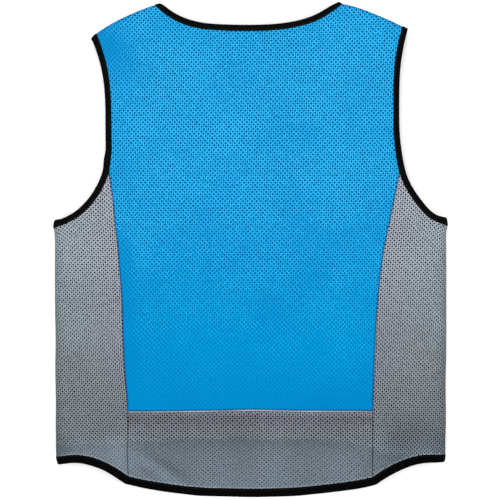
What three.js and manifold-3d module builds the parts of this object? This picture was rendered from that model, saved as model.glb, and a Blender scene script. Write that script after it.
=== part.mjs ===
// Cooling vest, lying flat with its back side up.
// Millimetres. X runs across the vest, +Y points to the neck and +Z up.
// While it is being built, y is 0 at the neck corners and falls towards the tail.
// Every panel is a thin wall, and the vest is hollow and open at neck, armholes and hem.

import * as THREE from 'three';
import Module from 'manifold-3d';
import { mergeVertices } from 'three/addons/utils/BufferGeometryUtils.js';

// Lengths down from the neck corner, to the cloth's edge
const TAIL_DROP = 635;
const SEAM_START_DROP = 220;
const BACK_NECK_DROP = 35.5;
const FRONT_NECK_DROP = 98;

// How far above the tail's lowest edge the blue panel, the side hem and the front hem end
const TAIL_HEIGHT = 102.5;
const SIDE_HEM_RISE = 44.5;
const FRONT_HEM_RISE = 66;
const TAIL_ARC_RISE = 17;

// Widths, to the cloth's edge
const CHEST_WIDTH = 512;
const TAIL_WIDTH = 320;
const FRONT_ACROSS = 334;
const FRONT_SEAM_REACH = 172;
const HEM_SWEEP = 75;
const SHOULDER_BULGE = 3;

// The two sides as they lie, a little unevenly: half widths, and drops from the neck corner
const LEFT_NECK_HALF = 125;
const LEFT_SHOULDER_HALF = 201.5;
const LEFT_SHOULDER_DROP = 40;
const LEFT_BACK_HALF = 183;
const LEFT_UNDERARM_DROP = 289.5;
const RIGHT_NECK_HALF = 119;
const RIGHT_SHOULDER_HALF = 197.2;
const RIGHT_SHOULDER_DROP = 31;
const RIGHT_BACK_HALF = 186.8;
const RIGHT_UNDERARM_DROP = 286.5;

// Cloth, binding and closure
const BLUE_THICK = 2.6;
const GREY_THICK = 1.6;
const EDGE_THICK = 1.6;
const EDGE_BAND = 9;
const NECK_BINDING = 8;
const ARMHOLE_BINDING = 7.7;
const HEM_BINDING = 10.7;
const BINDING_THICK = 3.4;
const BINDING_ROUND = 1.2;
const SEAM_GAP = 0.3;
const ZIP_WIDTH = 14;
const COIL_WIDTH = 5;
const COIL_THICK = 2.6;
const SLIDER = { width: 9, length: 12, thick: 1.9 };
const PULL = { width: 6, length: 26, thick: 1 };

// Heights of the two layers' middle surfaces
const FOLD_RADIUS = 8;
const BACK_LOFT = 24;
const TAIL_REST = 2.4;
const FRONT_EDGE_HEIGHT = BINDING_THICK / 2 + SEAM_GAP;
const FOLD_HEIGHT = FRONT_EDGE_HEIGHT + FOLD_RADIUS;
const BACK_SIDE_HEIGHT = FOLD_HEIGHT + FOLD_RADIUS;

// No soft fold reaches into the last part of the tail, a share of TAIL_DROP
const TAIL_CALM = 0.25;

// The curves of the two sides: neckCurl rounds the neckline, armholeCurl the top of the armhole and
// armholeRound its foot, which starts at the share armholeTurn of its depth. seamBow bends the seam.
const SIDES = [
  {
    name: 'left',
    sign: -1,
    neckHalf: LEFT_NECK_HALF,
    shoulderHalf: LEFT_SHOULDER_HALF,
    shoulderDrop: LEFT_SHOULDER_DROP,
    backHalf: LEFT_BACK_HALF,
    underarmDrop: LEFT_UNDERARM_DROP,
    neckCurl: 3.6,
    armholeCurl: 2.7,
    armholeTurn: 0.61,
    armholeRound: 1.6,
    seamBow: 1.5,
  },
  {
    name: 'right',
    sign: 1,
    neckHalf: RIGHT_NECK_HALF,
    shoulderHalf: RIGHT_SHOULDER_HALF,
    shoulderDrop: RIGHT_SHOULDER_DROP,
    backHalf: RIGHT_BACK_HALF,
    underarmDrop: RIGHT_UNDERARM_DROP,
    neckCurl: 2.55,
    armholeCurl: 4,
    armholeTurn: 0.5,
    armholeRound: 1.8,
    seamBow: 1.9,
  },
];
const FRONT_NECK_CURL = 2.2;
const TAIL_ARC_CURL = 2.4;
const ARMHOLE_EASE = 0.5;
const BACK_SPREAD = 1.5;

// How high the middle of the back lies, from the tail up to the neck.
// along is a share of TAIL_DROP, lift a share of BACK_LOFT.
const RIDGE = [
  { along: 0, lift: 0.1 },
  { along: 0.06, lift: 0.22 },
  { along: 0.16, lift: 0.78 },
  { along: 0.3, lift: 0.96 },
  { along: 0.52, lift: 1 },
  { along: 0.74, lift: 0.95 },
  { along: 0.88, lift: 0.74 },
  { along: 1, lift: 0.56 },
];

// Soft folds in the back as it lies. across is a share of half the chest, along and length are
// shares of TAIL_DROP, width is a share of half the chest and lift a share of BACK_LOFT.
const FOLDS = [
  { across: -0.3, along: 0.78, turn: 8, length: 0.16, width: 0.2, lift: 0.05 },
  { across: 0.34, along: 0.7, turn: -12, length: 0.2, width: 0.18, lift: 0.06 },
  { across: -0.08, along: 0.5, turn: 4, length: 0.2, width: 0.22, lift: -0.05 },
  { across: 0.42, along: 0.4, turn: 14, length: 0.17, width: 0.16, lift: 0.05 },
  { across: -0.5, along: 0.36, turn: -10, length: 0.15, width: 0.16, lift: 0.05 },
  { across: 0.12, along: 0.24, turn: 82, length: 0.22, width: 0.14, lift: 0.05 },
  { across: -0.34, along: 0.1, turn: 62, length: 0.1, width: 0.12, lift: 0.05 },
  { across: 0.7, along: 0.12, turn: -38, length: 0.08, width: 0.1, lift: 0.06 },
];

// Steps along the edges. ROLL is how far round the shoulder's roll each of its lines lies, in degrees.
const SEAM_STEPS = 7;
const ARMHOLE_STEPS = 7;
const TAIL_STEPS = 3;
const SHOULDER_STEPS = 3;
const NECK_STEPS = 6;
const FRONT_NECK_STEPS = 6;
const TAIL_SPANS = 12;
const SIDE_SPANS = 6;
const FOLD_SPANS = 6;
const ROLL = [0, 30, 60, 90];
const SLOPE_STEP = 2;
const SEARCH_FINE = 1e-6;

const half = CHEST_WIDTH / 2;
const foldStart = half - FOLD_RADIUS;
const tailHalf = TAIL_WIDTH / 2;
const blueDrop = TAIL_DROP - TAIL_HEIGHT;
const sideHemDrop = TAIL_DROP - SIDE_HEM_RISE;
const frontHemDrop = TAIL_DROP - FRONT_HEM_RISE;
const insets = ROLL.map((angle) => FOLD_RADIUS * (1 - Math.cos(THREE.MathUtils.degToRad(angle))));
const sideOf = (x) => SIDES[x < 0 ? 0 : 1];
const mix = THREE.MathUtils.lerp;

// A plan curve from a function of t that gives x and y
class PlanCurve extends THREE.Curve {
  constructor(at) {
    super();
    this.at = at;
  }

  getPoint(t, target = new THREE.Vector3()) {
    const [x, y] = this.at(t);
    return target.set(x, y, 0);
  }
}

// Shares from 0 to 1 in even steps, with extra ones at given lengths from either end
function shares(length, steps, headInsets = [], tailInsets = []) {
  const head = headInsets.map((inset) => inset / length);
  const tail = tailInsets.map((inset) => 1 - inset / length).reverse();
  const first = head.length ? head[head.length - 1] : 0;
  const last = tail.length ? tail[0] : 1;
  const even = Array.from({ length: steps + 1 }, (_, i) => mix(first, last, i / steps));
  return [...head.slice(0, -1), ...even, ...tail.slice(1)];
}

const along = (curve, list) => list.map((share) => curve.getPointAt(share));

// Points on a line that runs straight along the vest
const plumb = (x, from, to, steps) => Array.from({ length: steps + 1 }, (_, i) => (
  new THREE.Vector3(x, mix(from, to, i / steps), 0)));

// Cloth edges in plan

function shoulder(side) {
  const from = new THREE.Vector2(side.sign * side.neckHalf, 0);
  const to = new THREE.Vector2(side.sign * side.shoulderHalf, -side.shoulderDrop);
  const run = to.clone().sub(from);
  const out = new THREE.Vector2(-run.y * side.sign, run.x * side.sign).normalize();
  const bulge = (t) => 4 * SHOULDER_BULGE * t * (1 - t);
  const at = (t) => [
    from.x + run.x * t + out.x * bulge(t),
    from.y + run.y * t + out.y * bulge(t),
  ];
  // How far a plan point lies inside the shoulder's edge
  const inside = (x, y) => {
    const local = new THREE.Vector2(x, y).sub(from);
    return bulge(local.dot(run) / run.lengthSq()) - local.dot(out);
  };
  return { curve: new PlanCurve(at), inside, out, length: run.length() };
}

for (const side of SIDES) {
  side.shoulder = shoulder(side);
}

// From the middle to the neck corner
function neckline(side, drop, curl, start = 0) {
  return new PlanCurve((t) => {
    const share = mix(start, 1, t);
    return [side.sign * side.neckHalf * share, -drop * (1 - share ** curl)];
  });
}

// From the shoulder's end down to the start of the side fold
function armhole(side, innerHalf) {
  const depth = side.underarmDrop - side.shoulderDrop;
  return new PlanCurve((t) => {
    const down = 1 - (1 - t) ** 2;
    const notch = Math.max(0, 1 - down / ARMHOLE_EASE) ** side.armholeCurl;
    const turn = Math.max(0, down - side.armholeTurn) / (1 - side.armholeTurn);
    const flare = 1 - (1 - turn ** side.armholeRound) ** (1 / side.armholeRound);
    const reach = innerHalf + notch * (side.shoulderHalf - innerHalf) + flare * (foldStart - innerHalf);
    return [side.sign * reach, -side.shoulderDrop - depth * down];
  });
}

// The share of an armhole curve's length at which it has dropped to y
function shareAtDrop(curve, drop) {
  let low = 0;
  let high = 1;
  while (high - low > SEARCH_FINE) {
    const middle = (low + high) / 2;
    if (-curve.getPointAt(middle).y < drop) low = middle;
    else high = middle;
  }
  return low;
}

// Part of a curve, by shares of its length
const part = (curve, from, to) => new PlanCurve((t) => {
  const point = curve.getPointAt(mix(from, to, t));
  return [point.x, point.y];
});

// The seam between the back and the side, from the armhole down to the blue panel's foot
function sideSeam(side, top, footHalf, footDrop) {
  return new PlanCurve((t) => [
    side.sign * mix(Math.abs(top.x), footHalf, 1 - (1 - t) ** side.seamBow),
    mix(top.y, -footDrop, t),
  ]);
}

function tailHem(x) {
  const share = Math.min(1, Math.abs(x) / tailHalf);
  const sweep = Math.min(1, Math.max(0, Math.abs(x) - tailHalf) / HEM_SWEEP);
  const ease = SIDE_HEM_RISE - TAIL_ARC_RISE;
  return -TAIL_DROP + TAIL_ARC_RISE * share ** TAIL_ARC_CURL + ease * (1 - (1 - sweep) ** 2);
}

function frontHem(x) {
  return -mix(frontHemDrop, sideHemDrop, Math.min(1, Math.abs(x) / foldStart) ** 2);
}

const hemCurve = (hem, from, to) => new PlanCurve((t) => {
  const x = mix(from, to, t);
  return [x, hem(x)];
});

// Heights and outward directions of the two layers

function tableValue(table, share) {
  const next = Math.max(1, table.findIndex((row) => row.along >= share));
  const [a, b] = [table[next - 1], table[next]];
  const t = THREE.MathUtils.clamp((share - a.along) / (b.along - a.along), 0, 1);
  return mix(a.lift, b.lift, t * t * (3 - 2 * t));
}

function foldLift(fold, x, y) {
  const angle = THREE.MathUtils.degToRad(fold.turn);
  const dx = x - fold.across * half;
  const dy = y + (1 - fold.along) * TAIL_DROP;
  const cross = (dx * Math.cos(angle) + dy * Math.sin(angle)) / (fold.width * half);
  const run = (dy * Math.cos(angle) - dx * Math.sin(angle)) / (fold.length * TAIL_DROP);
  return fold.lift * BACK_LOFT * Math.exp(-cross * cross - run * run);
}

function backHeight(x, y) {
  const share = THREE.MathUtils.clamp(1 + y / TAIL_DROP, 0, 1);
  const ridge = Math.max(TAIL_REST, tableValue(RIDGE, share) * BACK_LOFT);
  const spread = Math.max(0, 1 - (x / foldStart) ** 2);
  const folds = FOLDS.reduce((sum, fold) => sum + foldLift(fold, x, y), 0);
  const calm = Math.min(1, share / TAIL_CALM);
  return mix(BACK_SIDE_HEIGHT, ridge, spread ** BACK_SPREAD) + folds * spread * calm;
}

// A point of a layer over a plan point. It rolls down, or up, to the shoulder's edge.
function onLayer(layer, x, y, lift = 0) {
  const up = layer === 'back' ? 1 : -1;
  const height = (px, py) => (layer === 'back' ? backHeight(px, py) : lift);
  const { inside, out } = sideOf(x).shoulder;
  const slopeX = (height(x + SLOPE_STEP, y) - height(x - SLOPE_STEP, y)) / (2 * SLOPE_STEP);
  const slopeY = (height(x, y + SLOPE_STEP) - height(x, y - SLOPE_STEP)) / (2 * SLOPE_STEP);
  const rest = FOLD_HEIGHT + (up * SEAM_GAP) / 2;
  const rise = height(x, y) - rest;
  const lean = Math.max(0, 1 - Math.max(0, inside(x, y)) / FOLD_RADIUS);
  const stand = Math.sqrt(1 - lean * lean);
  const roll = (rise * lean) / FOLD_RADIUS;
  const normal = new THREE.Vector3(
    out.x * roll - slopeX * stand * stand,
    out.y * roll - slopeY * stand * stand,
    stand,
  ).normalize().multiplyScalar(up);
  return { p: new THREE.Vector3(x, y, rest + rise * stand), n: normal };
}

// A point of the side fold, angle 0 on the back and 180 on the front
function onFold(side, y, angle) {
  const turn = THREE.MathUtils.degToRad(angle);
  const normal = new THREE.Vector3(side.sign * Math.sin(turn), 0, Math.cos(turn));
  const centre = new THREE.Vector3(side.sign * foldStart, y, FOLD_HEIGHT);
  return { p: centre.addScaledVector(normal, FOLD_RADIUS), n: normal };
}

const foldAngles = Array.from({ length: FOLD_SPANS + 1 }, (_, i) => (180 * i) / FOLD_SPANS);

// A grid of plan points inside four edges that share their corners
function fill(bottom, top, left, right) {
  const width = bottom.length - 1;
  const height = left.length - 1;
  const run = (list) => {
    const lengths = list.map((p, i) => (i ? p.distanceTo(list[i - 1]) : 0));
    const total = lengths.reduce((sum, value) => sum + value, 0);
    let sum = 0;
    return lengths.map((value) => {
      sum += value;
      return sum / total;
    });
  };
  const across = [run(bottom), run(top)];
  const upward = [run(left), run(right)];
  const rows = [];
  for (let j = 0; j <= height; j += 1) {
    const row = [];
    for (let i = 0; i <= width; i += 1) {
      const v = mix(upward[0][j], upward[1][j], i / width);
      const u = mix(across[0][i], across[1][i], v);
      const edges = bottom[i].clone().lerp(top[i], v).add(left[j].clone().lerp(right[j], u));
      const low = bottom[0].clone().lerp(bottom[width], u);
      const high = top[0].clone().lerp(top[width], u);
      row.push(edges.sub(low.lerp(high, v)));
    }
    rows.push(row);
  }
  return rows;
}

// Solids

function solidFrom(positions, triangles) {
  const geometry = new THREE.BufferGeometry();
  geometry.setAttribute('position', new THREE.Float32BufferAttribute(positions, 3));
  const corner = (i) => new THREE.Vector3().fromArray(positions, 3 * i);
  let volume = 0;
  for (let i = 0; i < triangles.length; i += 3) {
    const [a, b, c] = triangles.slice(i, i + 3).map(corner);
    volume += a.dot(b.cross(c));
  }
  geometry.setIndex(volume < 0 ? [...triangles].reverse() : triangles);
  geometry.computeVertexNormals();
  return geometry;
}

// A wall along a grid of surface points { p, n, thick }, closed round its rim
function wall(rows) {
  const width = rows[0].length;
  const flat = rows.flat();
  const count = flat.length;
  const positions = [];
  for (const face of [0.5, -0.5]) {
    for (const { p, n, thick } of flat) {
      positions.push(...p.clone().addScaledVector(n, face * thick).toArray());
    }
  }
  const triangles = [];
  for (let j = 0; j + 1 < rows.length; j += 1) {
    for (let i = 0; i + 1 < width; i += 1) {
      const [a, b] = [j * width + i, j * width + i + 1];
      const [c, d] = [b + width, a + width];
      triangles.push(a, b, c, a, c, d);
      triangles.push(c + count, b + count, a + count, d + count, c + count, a + count);
    }
  }
  const rim = [];
  for (let i = 0; i < width - 1; i += 1) rim.push(i);
  for (let j = 0; j < rows.length - 1; j += 1) rim.push(j * width + width - 1);
  for (let i = width - 1; i > 0; i -= 1) rim.push((rows.length - 1) * width + i);
  for (let j = rows.length - 1; j > 0; j -= 1) rim.push(j * width);
  rim.forEach((a, i) => {
    const b = rim[(i + 1) % rim.length];
    triangles.push(b, a, a + count, b, a + count, b + count);
  });
  return solidFrom(positions, triangles);
}

// A folded tape along an edge. turn is 1 where the cloth lies to the left of the path on the back.
function binding(path, width, turn, closed) {
  const side = BINDING_THICK / 2;
  const section = [
    [SEAM_GAP, -side],
    [SEAM_GAP, side],
    [width - BINDING_ROUND, side],
    [width, side / 3],
    [width, -side / 3],
    [width - BINDING_ROUND, -side],
  ];
  const corners = section.length;
  const positions = [];
  const last = path.length - 1;
  path.forEach(({ p, n }, i) => {
    const before = path[i ? i - 1 : (closed ? last : 0)].p;
    const after = path[i < last ? i + 1 : (closed ? 0 : last)].p;
    const run = after.clone().sub(before);
    // An open end stands square to the closure that it meets
    if (!closed && (i === 0 || i === last)) run.y = 0;
    const out = run.cross(n).normalize().multiplyScalar(turn);
    for (const [reach, lift] of section) {
      positions.push(...p.clone().addScaledVector(out, reach).addScaledVector(n, lift).toArray());
    }
  });
  const triangles = [];
  for (let k = 0; k < (closed ? path.length : last); k += 1) {
    const [from, to] = [k * corners, ((k + 1) % path.length) * corners];
    for (let i = 0; i < corners; i += 1) {
      const next = (i + 1) % corners;
      triangles.push(from + i, from + next, to + next, from + i, to + next, to + i);
    }
  }
  if (!closed) {
    const end = last * corners;
    for (let i = 1; i + 1 < corners; i += 1) {
      triangles.push(0, i + 1, i, end, end + i, end + i + 1);
    }
  }
  return solidFrom(positions, triangles);
}

// Stations along every edge, worked out once so that what meets shares its points

const zipEdge = ZIP_WIDTH / 2 + SEAM_GAP;

for (const side of SIDES) {
  const { sign } = side;
  const band = [0, EDGE_BAND];
  const back = armhole(side, side.backHalf);
  const backSplit = shareAtDrop(back, SEAM_START_DROP);
  const front = armhole(side, FRONT_ACROSS / 2);
  const frontSplit = shareAtDrop(front, SEAM_START_DROP);
  const layers = {
    back: { curve: back, split: backSplit, foot: tailHalf, footDrop: blueDrop },
    front: { curve: front, split: frontSplit, foot: FRONT_SEAM_REACH, footDrop: blueDrop },
  };
  for (const layer of Object.values(layers)) {
    const upper = part(layer.curve, 0, layer.split);
    const lower = part(layer.curve, layer.split, 1);
    const top = lower.getPoint(0);
    const seam = sideSeam(side, top, layer.foot, layer.footDrop);
    layer.upper = along(upper, shares(upper.getLength(), ARMHOLE_STEPS, insets));
    layer.lower = along(lower, shares(lower.getLength(), SIDE_SPANS));
    layer.seam = along(seam, shares(seam.getLength(), SEAM_STEPS));
  }
  const { curve, length } = side.shoulder;
  side.shoulderLine = along(curve, shares(length, SHOULDER_STEPS, band, band));
  const backNeck = neckline(side, BACK_NECK_DROP, side.neckCurl);
  const frontNeck = neckline(side, FRONT_NECK_DROP, FRONT_NECK_CURL, zipEdge / side.neckHalf);
  layers.back.neck = along(backNeck, shares(backNeck.getLength(), NECK_STEPS, [], insets));
  layers.front.neck = along(frontNeck, shares(frontNeck.getLength(), FRONT_NECK_STEPS, [], insets));
  Object.assign(side, layers);

  // From the seams' feet to the hem, and along it
  const [tailFoot, frontFoot] = [sign * tailHalf, sign * FRONT_SEAM_REACH];
  side.back.foot = plumb(tailFoot, -blueDrop, tailHem(tailFoot), TAIL_STEPS);
  side.front.foot = plumb(frontFoot, -blueDrop, frontHem(frontFoot), TAIL_STEPS);
  side.back.hem = along(hemCurve(tailHem, tailFoot, sign * foldStart), shares(1, SIDE_SPANS));
  side.front.hem = along(hemCurve(frontHem, frontFoot, sign * foldStart), shares(1, SIDE_SPANS));
  const middleHem = hemCurve(frontHem, sign * zipEdge, frontFoot);
  side.front.middleHem = along(middleHem, shares(1, FRONT_NECK_STEPS));
}

// Panels

// How thick a panel is at a grid point: full inside, thin at its two outer lines
function thickness(full, i, j, width, height) {
  const edge = Math.min(i, j, width - 1 - i, height - 1 - j);
  return edge < 1 ? EDGE_THICK : full;
}

const nudge = (point, x, y = 0) => point.clone().add(new THREE.Vector3(x, y, 0));

function backPanel() {
  const [left, right] = SIDES;
  const edge = ({ sign, back }) => [...back.seam.slice().reverse(), ...back.upper.slice(0, -1).reverse()]
    .map((point, j) => (j <= SEAM_STEPS ? nudge(point, (-sign * SEAM_GAP) / 2) : point));
  const top = [
    ...left.shoulderLine.slice().reverse(),
    ...left.back.neck.slice(0, -1).reverse(),
    ...right.back.neck.slice(1, -1),
    ...right.shoulderLine,
  ];
  const [leftEdge, rightEdge] = [edge(left), edge(right)];
  const even = top.map((_, i) => i / (top.length - 1));
  const bottom = even.map((share) => leftEdge[0].clone().lerp(rightEdge[0], share));
  const plan = fill(bottom, top, leftEdge, rightEdge);
  return wall(plan.map((row, j) => row.map(({ x, y }, i) => ({
    ...onLayer('back', x, j ? y : y + SEAM_GAP / 2),
    thick: thickness(BLUE_THICK, i, j, row.length, plan.length),
  }))));
}

function tailPanel() {
  const [left, right] = SIDES;
  const edge = ({ sign, back }) => back.foot.slice().reverse()
    .map((point) => nudge(point, (-sign * SEAM_GAP) / 2));
  const [leftEdge, rightEdge] = [edge(left), edge(right)];
  const [from, to] = [leftEdge[0].x, rightEdge[0].x];
  const bottom = along(hemCurve(tailHem, from, to), shares(1, TAIL_SPANS));
  const top = bottom.map((_, i) => leftEdge.at(-1).clone().lerp(rightEdge.at(-1), i / TAIL_SPANS));
  const plan = fill(bottom, top, leftEdge, rightEdge);
  return wall(plan.map((row, j) => row.map(({ x, y }) => ({
    ...onLayer('back', x, j < plan.length - 1 ? y : y - SEAM_GAP / 2),
    thick: GREY_THICK,
  }))));
}

// The height of the front layer's middle surface, raised at edges that carry a binding
function frontLift(thick, bound) {
  return bound ? FRONT_EDGE_HEIGHT : thick / 2;
}

function sidePanel(side) {
  const { sign } = side;
  const flank = (layer) => {
    const { seam, foot, lower, hem } = side[layer];
    const inner = [...foot.slice(1).reverse(), ...seam.slice().reverse()]
      .map((point) => nudge(point, (sign * SEAM_GAP) / 2));
    const fold = plumb(sign * foldStart, -sideHemDrop, -side.underarmDrop, inner.length - 1);
    return fill(hem, lower, inner, fold);
  };
  const [back, front] = [flank('back'), flank('front')];
  const height = back.length;
  return wall(back.map((row, j) => {
    const bound = j === 0 || j === height - 1;
    const foldY = row.at(-1).y;
    const points = [
      ...row.slice(0, -1).map(({ x, y }) => onLayer('back', x, y)),
      ...foldAngles.map((angle) => onFold(side, foldY, angle)),
      ...front[j].slice(0, -1).reverse().map(({ x, y }) => (
        onLayer('front', x, y, frontLift(GREY_THICK, bound)))),
    ];
    return points.map((point) => ({ ...point, thick: GREY_THICK }));
  }));
}

function frontPanel(side) {
  const { sign, front, shoulderLine } = side;
  const inset = (-sign * SEAM_GAP) / 2;
  const seamEdge = [...front.foot.slice(1).reverse(), ...front.seam.slice().reverse()]
    .map((point) => nudge(point, inset));
  const outer = [...seamEdge, ...front.upper.slice(0, -1).reverse()];
  const top = [...front.neck.slice(0, -1), ...shoulderLine];
  const middle = plumb(sign * zipEdge, frontHem(zipEdge), top[0].y, outer.length - 1);
  const hem = hemCurve(frontHem, sign * zipEdge, outer[0].x);
  const bottom = along(hem, shares(1, top.length - 1));
  const plan = fill(bottom, top, middle, outer);
  return wall(plan.map((row, j) => row.map(({ x, y }, i) => {
    const bound = i === 0 || j === 0 || j === plan.length - 1
      || (i === row.length - 1 && j >= seamEdge.length - 1);
    const thick = thickness(BLUE_THICK, i, j, row.length, plan.length);
    return { ...onLayer('front', x, y, frontLift(thick, bound)), thick };
  })));
}

// Bindings

const place = (layer) => ({ x, y }) => onLayer(layer, x, y, FRONT_EDGE_HEIGHT);

// At the shoulder the two layers meet, so the path takes that point from the back alone
const frontNeckPath = ({ front }) => front.neck.slice(0, -1).map(place('front'));
const backNeckPath = ({ back }) => back.neck.map(place('back'));

function neckBinding() {
  const [left, right] = SIDES;
  const path = [
    ...frontNeckPath(left),
    ...backNeckPath(left).reverse(),
    ...backNeckPath(right).slice(1),
    ...frontNeckPath(right).reverse(),
  ];
  return binding(path, NECK_BINDING, -1, false);
}

function armholeBinding(side) {
  const { back, front, sign } = side;
  const path = [
    ...back.upper.map(place('back')),
    ...back.lower.slice(1, -1).map(place('back')),
    ...foldAngles.map((angle) => onFold(side, -side.underarmDrop, angle)),
    ...front.lower.slice(1, -1).reverse().map(place('front')),
    ...front.upper.slice(1).reverse().map(place('front')),
  ];
  return binding(path, ARMHOLE_BINDING, -sign, true);
}

function hemBinding() {
  const [left, right] = SIDES;
  const sideRun = (side) => [
    ...side.front.middleHem.slice(0, -1).map(place('front')),
    ...side.front.hem.slice(0, -1).map(place('front')),
    ...foldAngles.slice().reverse().map((angle) => onFold(side, -sideHemDrop, angle)),
    ...side.back.hem.slice(0, -1).reverse().map(place('back')),
  ];
  const tail = along(hemCurve(tailHem, -tailHalf, tailHalf), shares(1, TAIL_SPANS)).slice(1, -1);
  const path = [...sideRun(left), ...tail.map(place('back')), ...sideRun(right).reverse()];
  return binding(path, HEM_BINDING, 1, false);
}

// Closure: tape, coil, slider and pull in one piece

const wasm = await Module();
wasm.setup();

function toManifold(geometry) {
  const bare = geometry.index ? geometry.toNonIndexed() : geometry.clone();
  bare.deleteAttribute('normal');
  bare.deleteAttribute('uv');
  const merged = mergeVertices(bare, 1e-4);
  return new wasm.Manifold(new wasm.Mesh({
    numProp: 3,
    vertProperties: new Float32Array(merged.attributes.position.array),
    triVerts: new Uint32Array(merged.index.array),
  }));
}

function fromManifold(solid) {
  const mesh = solid.getMesh();
  const geometry = new THREE.BufferGeometry();
  geometry.setAttribute('position', new THREE.BufferAttribute(mesh.vertProperties, 3));
  geometry.setIndex([...mesh.triVerts]);
  return geometry;
}

const block = (width, length, thick, y, z) => (
  new THREE.BoxGeometry(width, length, thick).translate(0, y, z));

function frontZip() {
  const top = -FRONT_NECK_DROP + NECK_BINDING;
  const foot = -frontHemDrop - HEM_BINDING;
  const length = top - foot;
  const middle = (top + foot) / 2;
  const sliderY = top - NECK_BINDING - SLIDER.length;
  const pieces = [
    block(ZIP_WIDTH, length, EDGE_THICK, middle, FRONT_EDGE_HEIGHT),
    block(COIL_WIDTH, length - 2 * HEM_BINDING, COIL_THICK, middle, FRONT_EDGE_HEIGHT),
    block(SLIDER.width, SLIDER.length, SLIDER.thick, sliderY, FRONT_EDGE_HEIGHT - SLIDER.thick / 2),
    block(PULL.width, PULL.length, PULL.thick, sliderY - PULL.length / 2, FRONT_EDGE_HEIGHT - PULL.thick),
  ];
  return fromManifold(pieces.map(toManifold).reduce((all, next) => all.add(next)));
}

// The vest

const MATERIALS = {
  blue: new THREE.MeshStandardMaterial({ color: 0x1c98d4, roughness: 0.75, metalness: 0 }),
  grey: new THREE.MeshStandardMaterial({ color: 0x858e95, roughness: 0.85, metalness: 0 }),
  black: new THREE.MeshStandardMaterial({ color: 0x141312, roughness: 0.9, metalness: 0 }),
};

const vest = new THREE.Group();

function add(name, geometry, material) {
  const mesh = new THREE.Mesh(geometry, material);
  mesh.name = name;
  vest.add(mesh);
}

add('back_panel', backPanel(), MATERIALS.blue);
add('tail_panel', tailPanel(), MATERIALS.grey);
for (const side of SIDES) {
  add(`${side.name}_side_panel`, sidePanel(side), MATERIALS.grey);
  add(`${side.name}_front_panel`, frontPanel(side), MATERIALS.blue);
  add(`${side.name}_armhole_binding`, armholeBinding(side), MATERIALS.black);
}
add('neck_binding', neckBinding(), MATERIALS.black);
add('hem_binding', hemBinding(), MATERIALS.black);
add('front_zip', frontZip(), MATERIALS.black);

// The origin is on the surface, under the middle of the vest
const bounds = new THREE.Box3().setFromObject(vest);
const centre = bounds.getCenter(new THREE.Vector3());
vest.position.set(-centre.x, -centre.y, -bounds.min.z);

export default vest;
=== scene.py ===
"""Dresses a mesh cooling vest that lies flat on a pale floor, back side up."""

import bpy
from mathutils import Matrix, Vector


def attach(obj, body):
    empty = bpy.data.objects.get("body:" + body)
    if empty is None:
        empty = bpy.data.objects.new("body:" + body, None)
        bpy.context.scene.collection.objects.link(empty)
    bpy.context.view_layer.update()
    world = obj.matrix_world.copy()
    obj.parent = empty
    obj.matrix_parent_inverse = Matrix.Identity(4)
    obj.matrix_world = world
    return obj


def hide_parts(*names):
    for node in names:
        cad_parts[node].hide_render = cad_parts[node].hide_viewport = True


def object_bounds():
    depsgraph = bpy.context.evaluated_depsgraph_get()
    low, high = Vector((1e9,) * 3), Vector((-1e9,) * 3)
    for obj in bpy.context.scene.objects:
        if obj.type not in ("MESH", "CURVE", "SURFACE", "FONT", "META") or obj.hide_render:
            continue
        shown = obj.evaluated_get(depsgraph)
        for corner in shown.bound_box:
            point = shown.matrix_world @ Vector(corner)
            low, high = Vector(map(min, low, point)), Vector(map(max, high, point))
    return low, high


bl_info = {
    "name": "Cooling Vest",
    "version": (1, 0, 0),
    "blender": (4, 5, 0),
    "location": "3D View > Sidebar > Cooling Vest",
    "description": "Makes the cloth, bindings, seams, stitches and zip of a mesh cooling vest",
    "category": "Object",
}

from types import SimpleNamespace

import bpy
import numpy as np

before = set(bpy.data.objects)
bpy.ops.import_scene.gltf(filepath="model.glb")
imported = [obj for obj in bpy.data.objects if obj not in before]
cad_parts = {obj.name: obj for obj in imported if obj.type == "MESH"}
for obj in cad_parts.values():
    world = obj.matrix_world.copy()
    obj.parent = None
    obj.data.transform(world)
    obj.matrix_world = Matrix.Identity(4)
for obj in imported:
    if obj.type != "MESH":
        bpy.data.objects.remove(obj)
CAD_BOX = [list(corner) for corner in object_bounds()]

# The plan of the vest in millimetres, as the solids have it. y is 0 at the neck corners and falls
# towards the tail.
MM = 0.001
TAIL_DROP = 635.0
SIDE_HEM_DROP = 590.5
BLUE_DROP = 532.5
SEAM_START_DROP = 220.0
BACK_NECK_DROP = 35.5
FRONT_NECK_DROP = 98.0
FRONT_HEM_DROP = 569.0
CHEST_HALF = 256.0
TAIL_HALF = 160.0
FRONT_INNER_HALF = 167.0
FRONT_SEAM_REACH = 172.0
HEM_SWEEP = 75.0
TAIL_ARC_RISE = 17.0
TAIL_ARC_CURL = 2.4
SHOULDER_BULGE = 3.0
FRONT_NECK_CURL = 2.2
ARMHOLE_EASE = 0.5
NECK_BINDING = 8.0
ARMHOLE_BINDING = 7.7
HEM_BINDING = 10.7
FOLD_RADIUS = 8.0
FRONT_EDGE_HEIGHT = 2.0
FOLD_HEIGHT = FRONT_EDGE_HEIGHT + FOLD_RADIUS
BACK_SIDE_HEIGHT = FOLD_HEIGHT + FOLD_RADIUS
FOLD_START = CHEST_HALF - FOLD_RADIUS
BACK_LOFT = 24.0
TAIL_REST = 2.4
TAIL_CALM = 0.25
BACK_SPREAD = 1.5
SEAM_GAP = 0.3
ZIP_WIDTH = 14.0
NECK_Y = CAD_BOX[0][1] / MM + TAIL_DROP + HEM_BINDING

# Cloth thickness in millimetres: free, and pressed under a binding
BLUE_THICK = 2.6
GREY_THICK = 1.6
PRESSED_THICK = 1.5

# How unevenly a binding was sewn on, in width and in height, as shares
TAPE_WOBBLE = 0.022
TAPE_SWELL = 0.05

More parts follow.
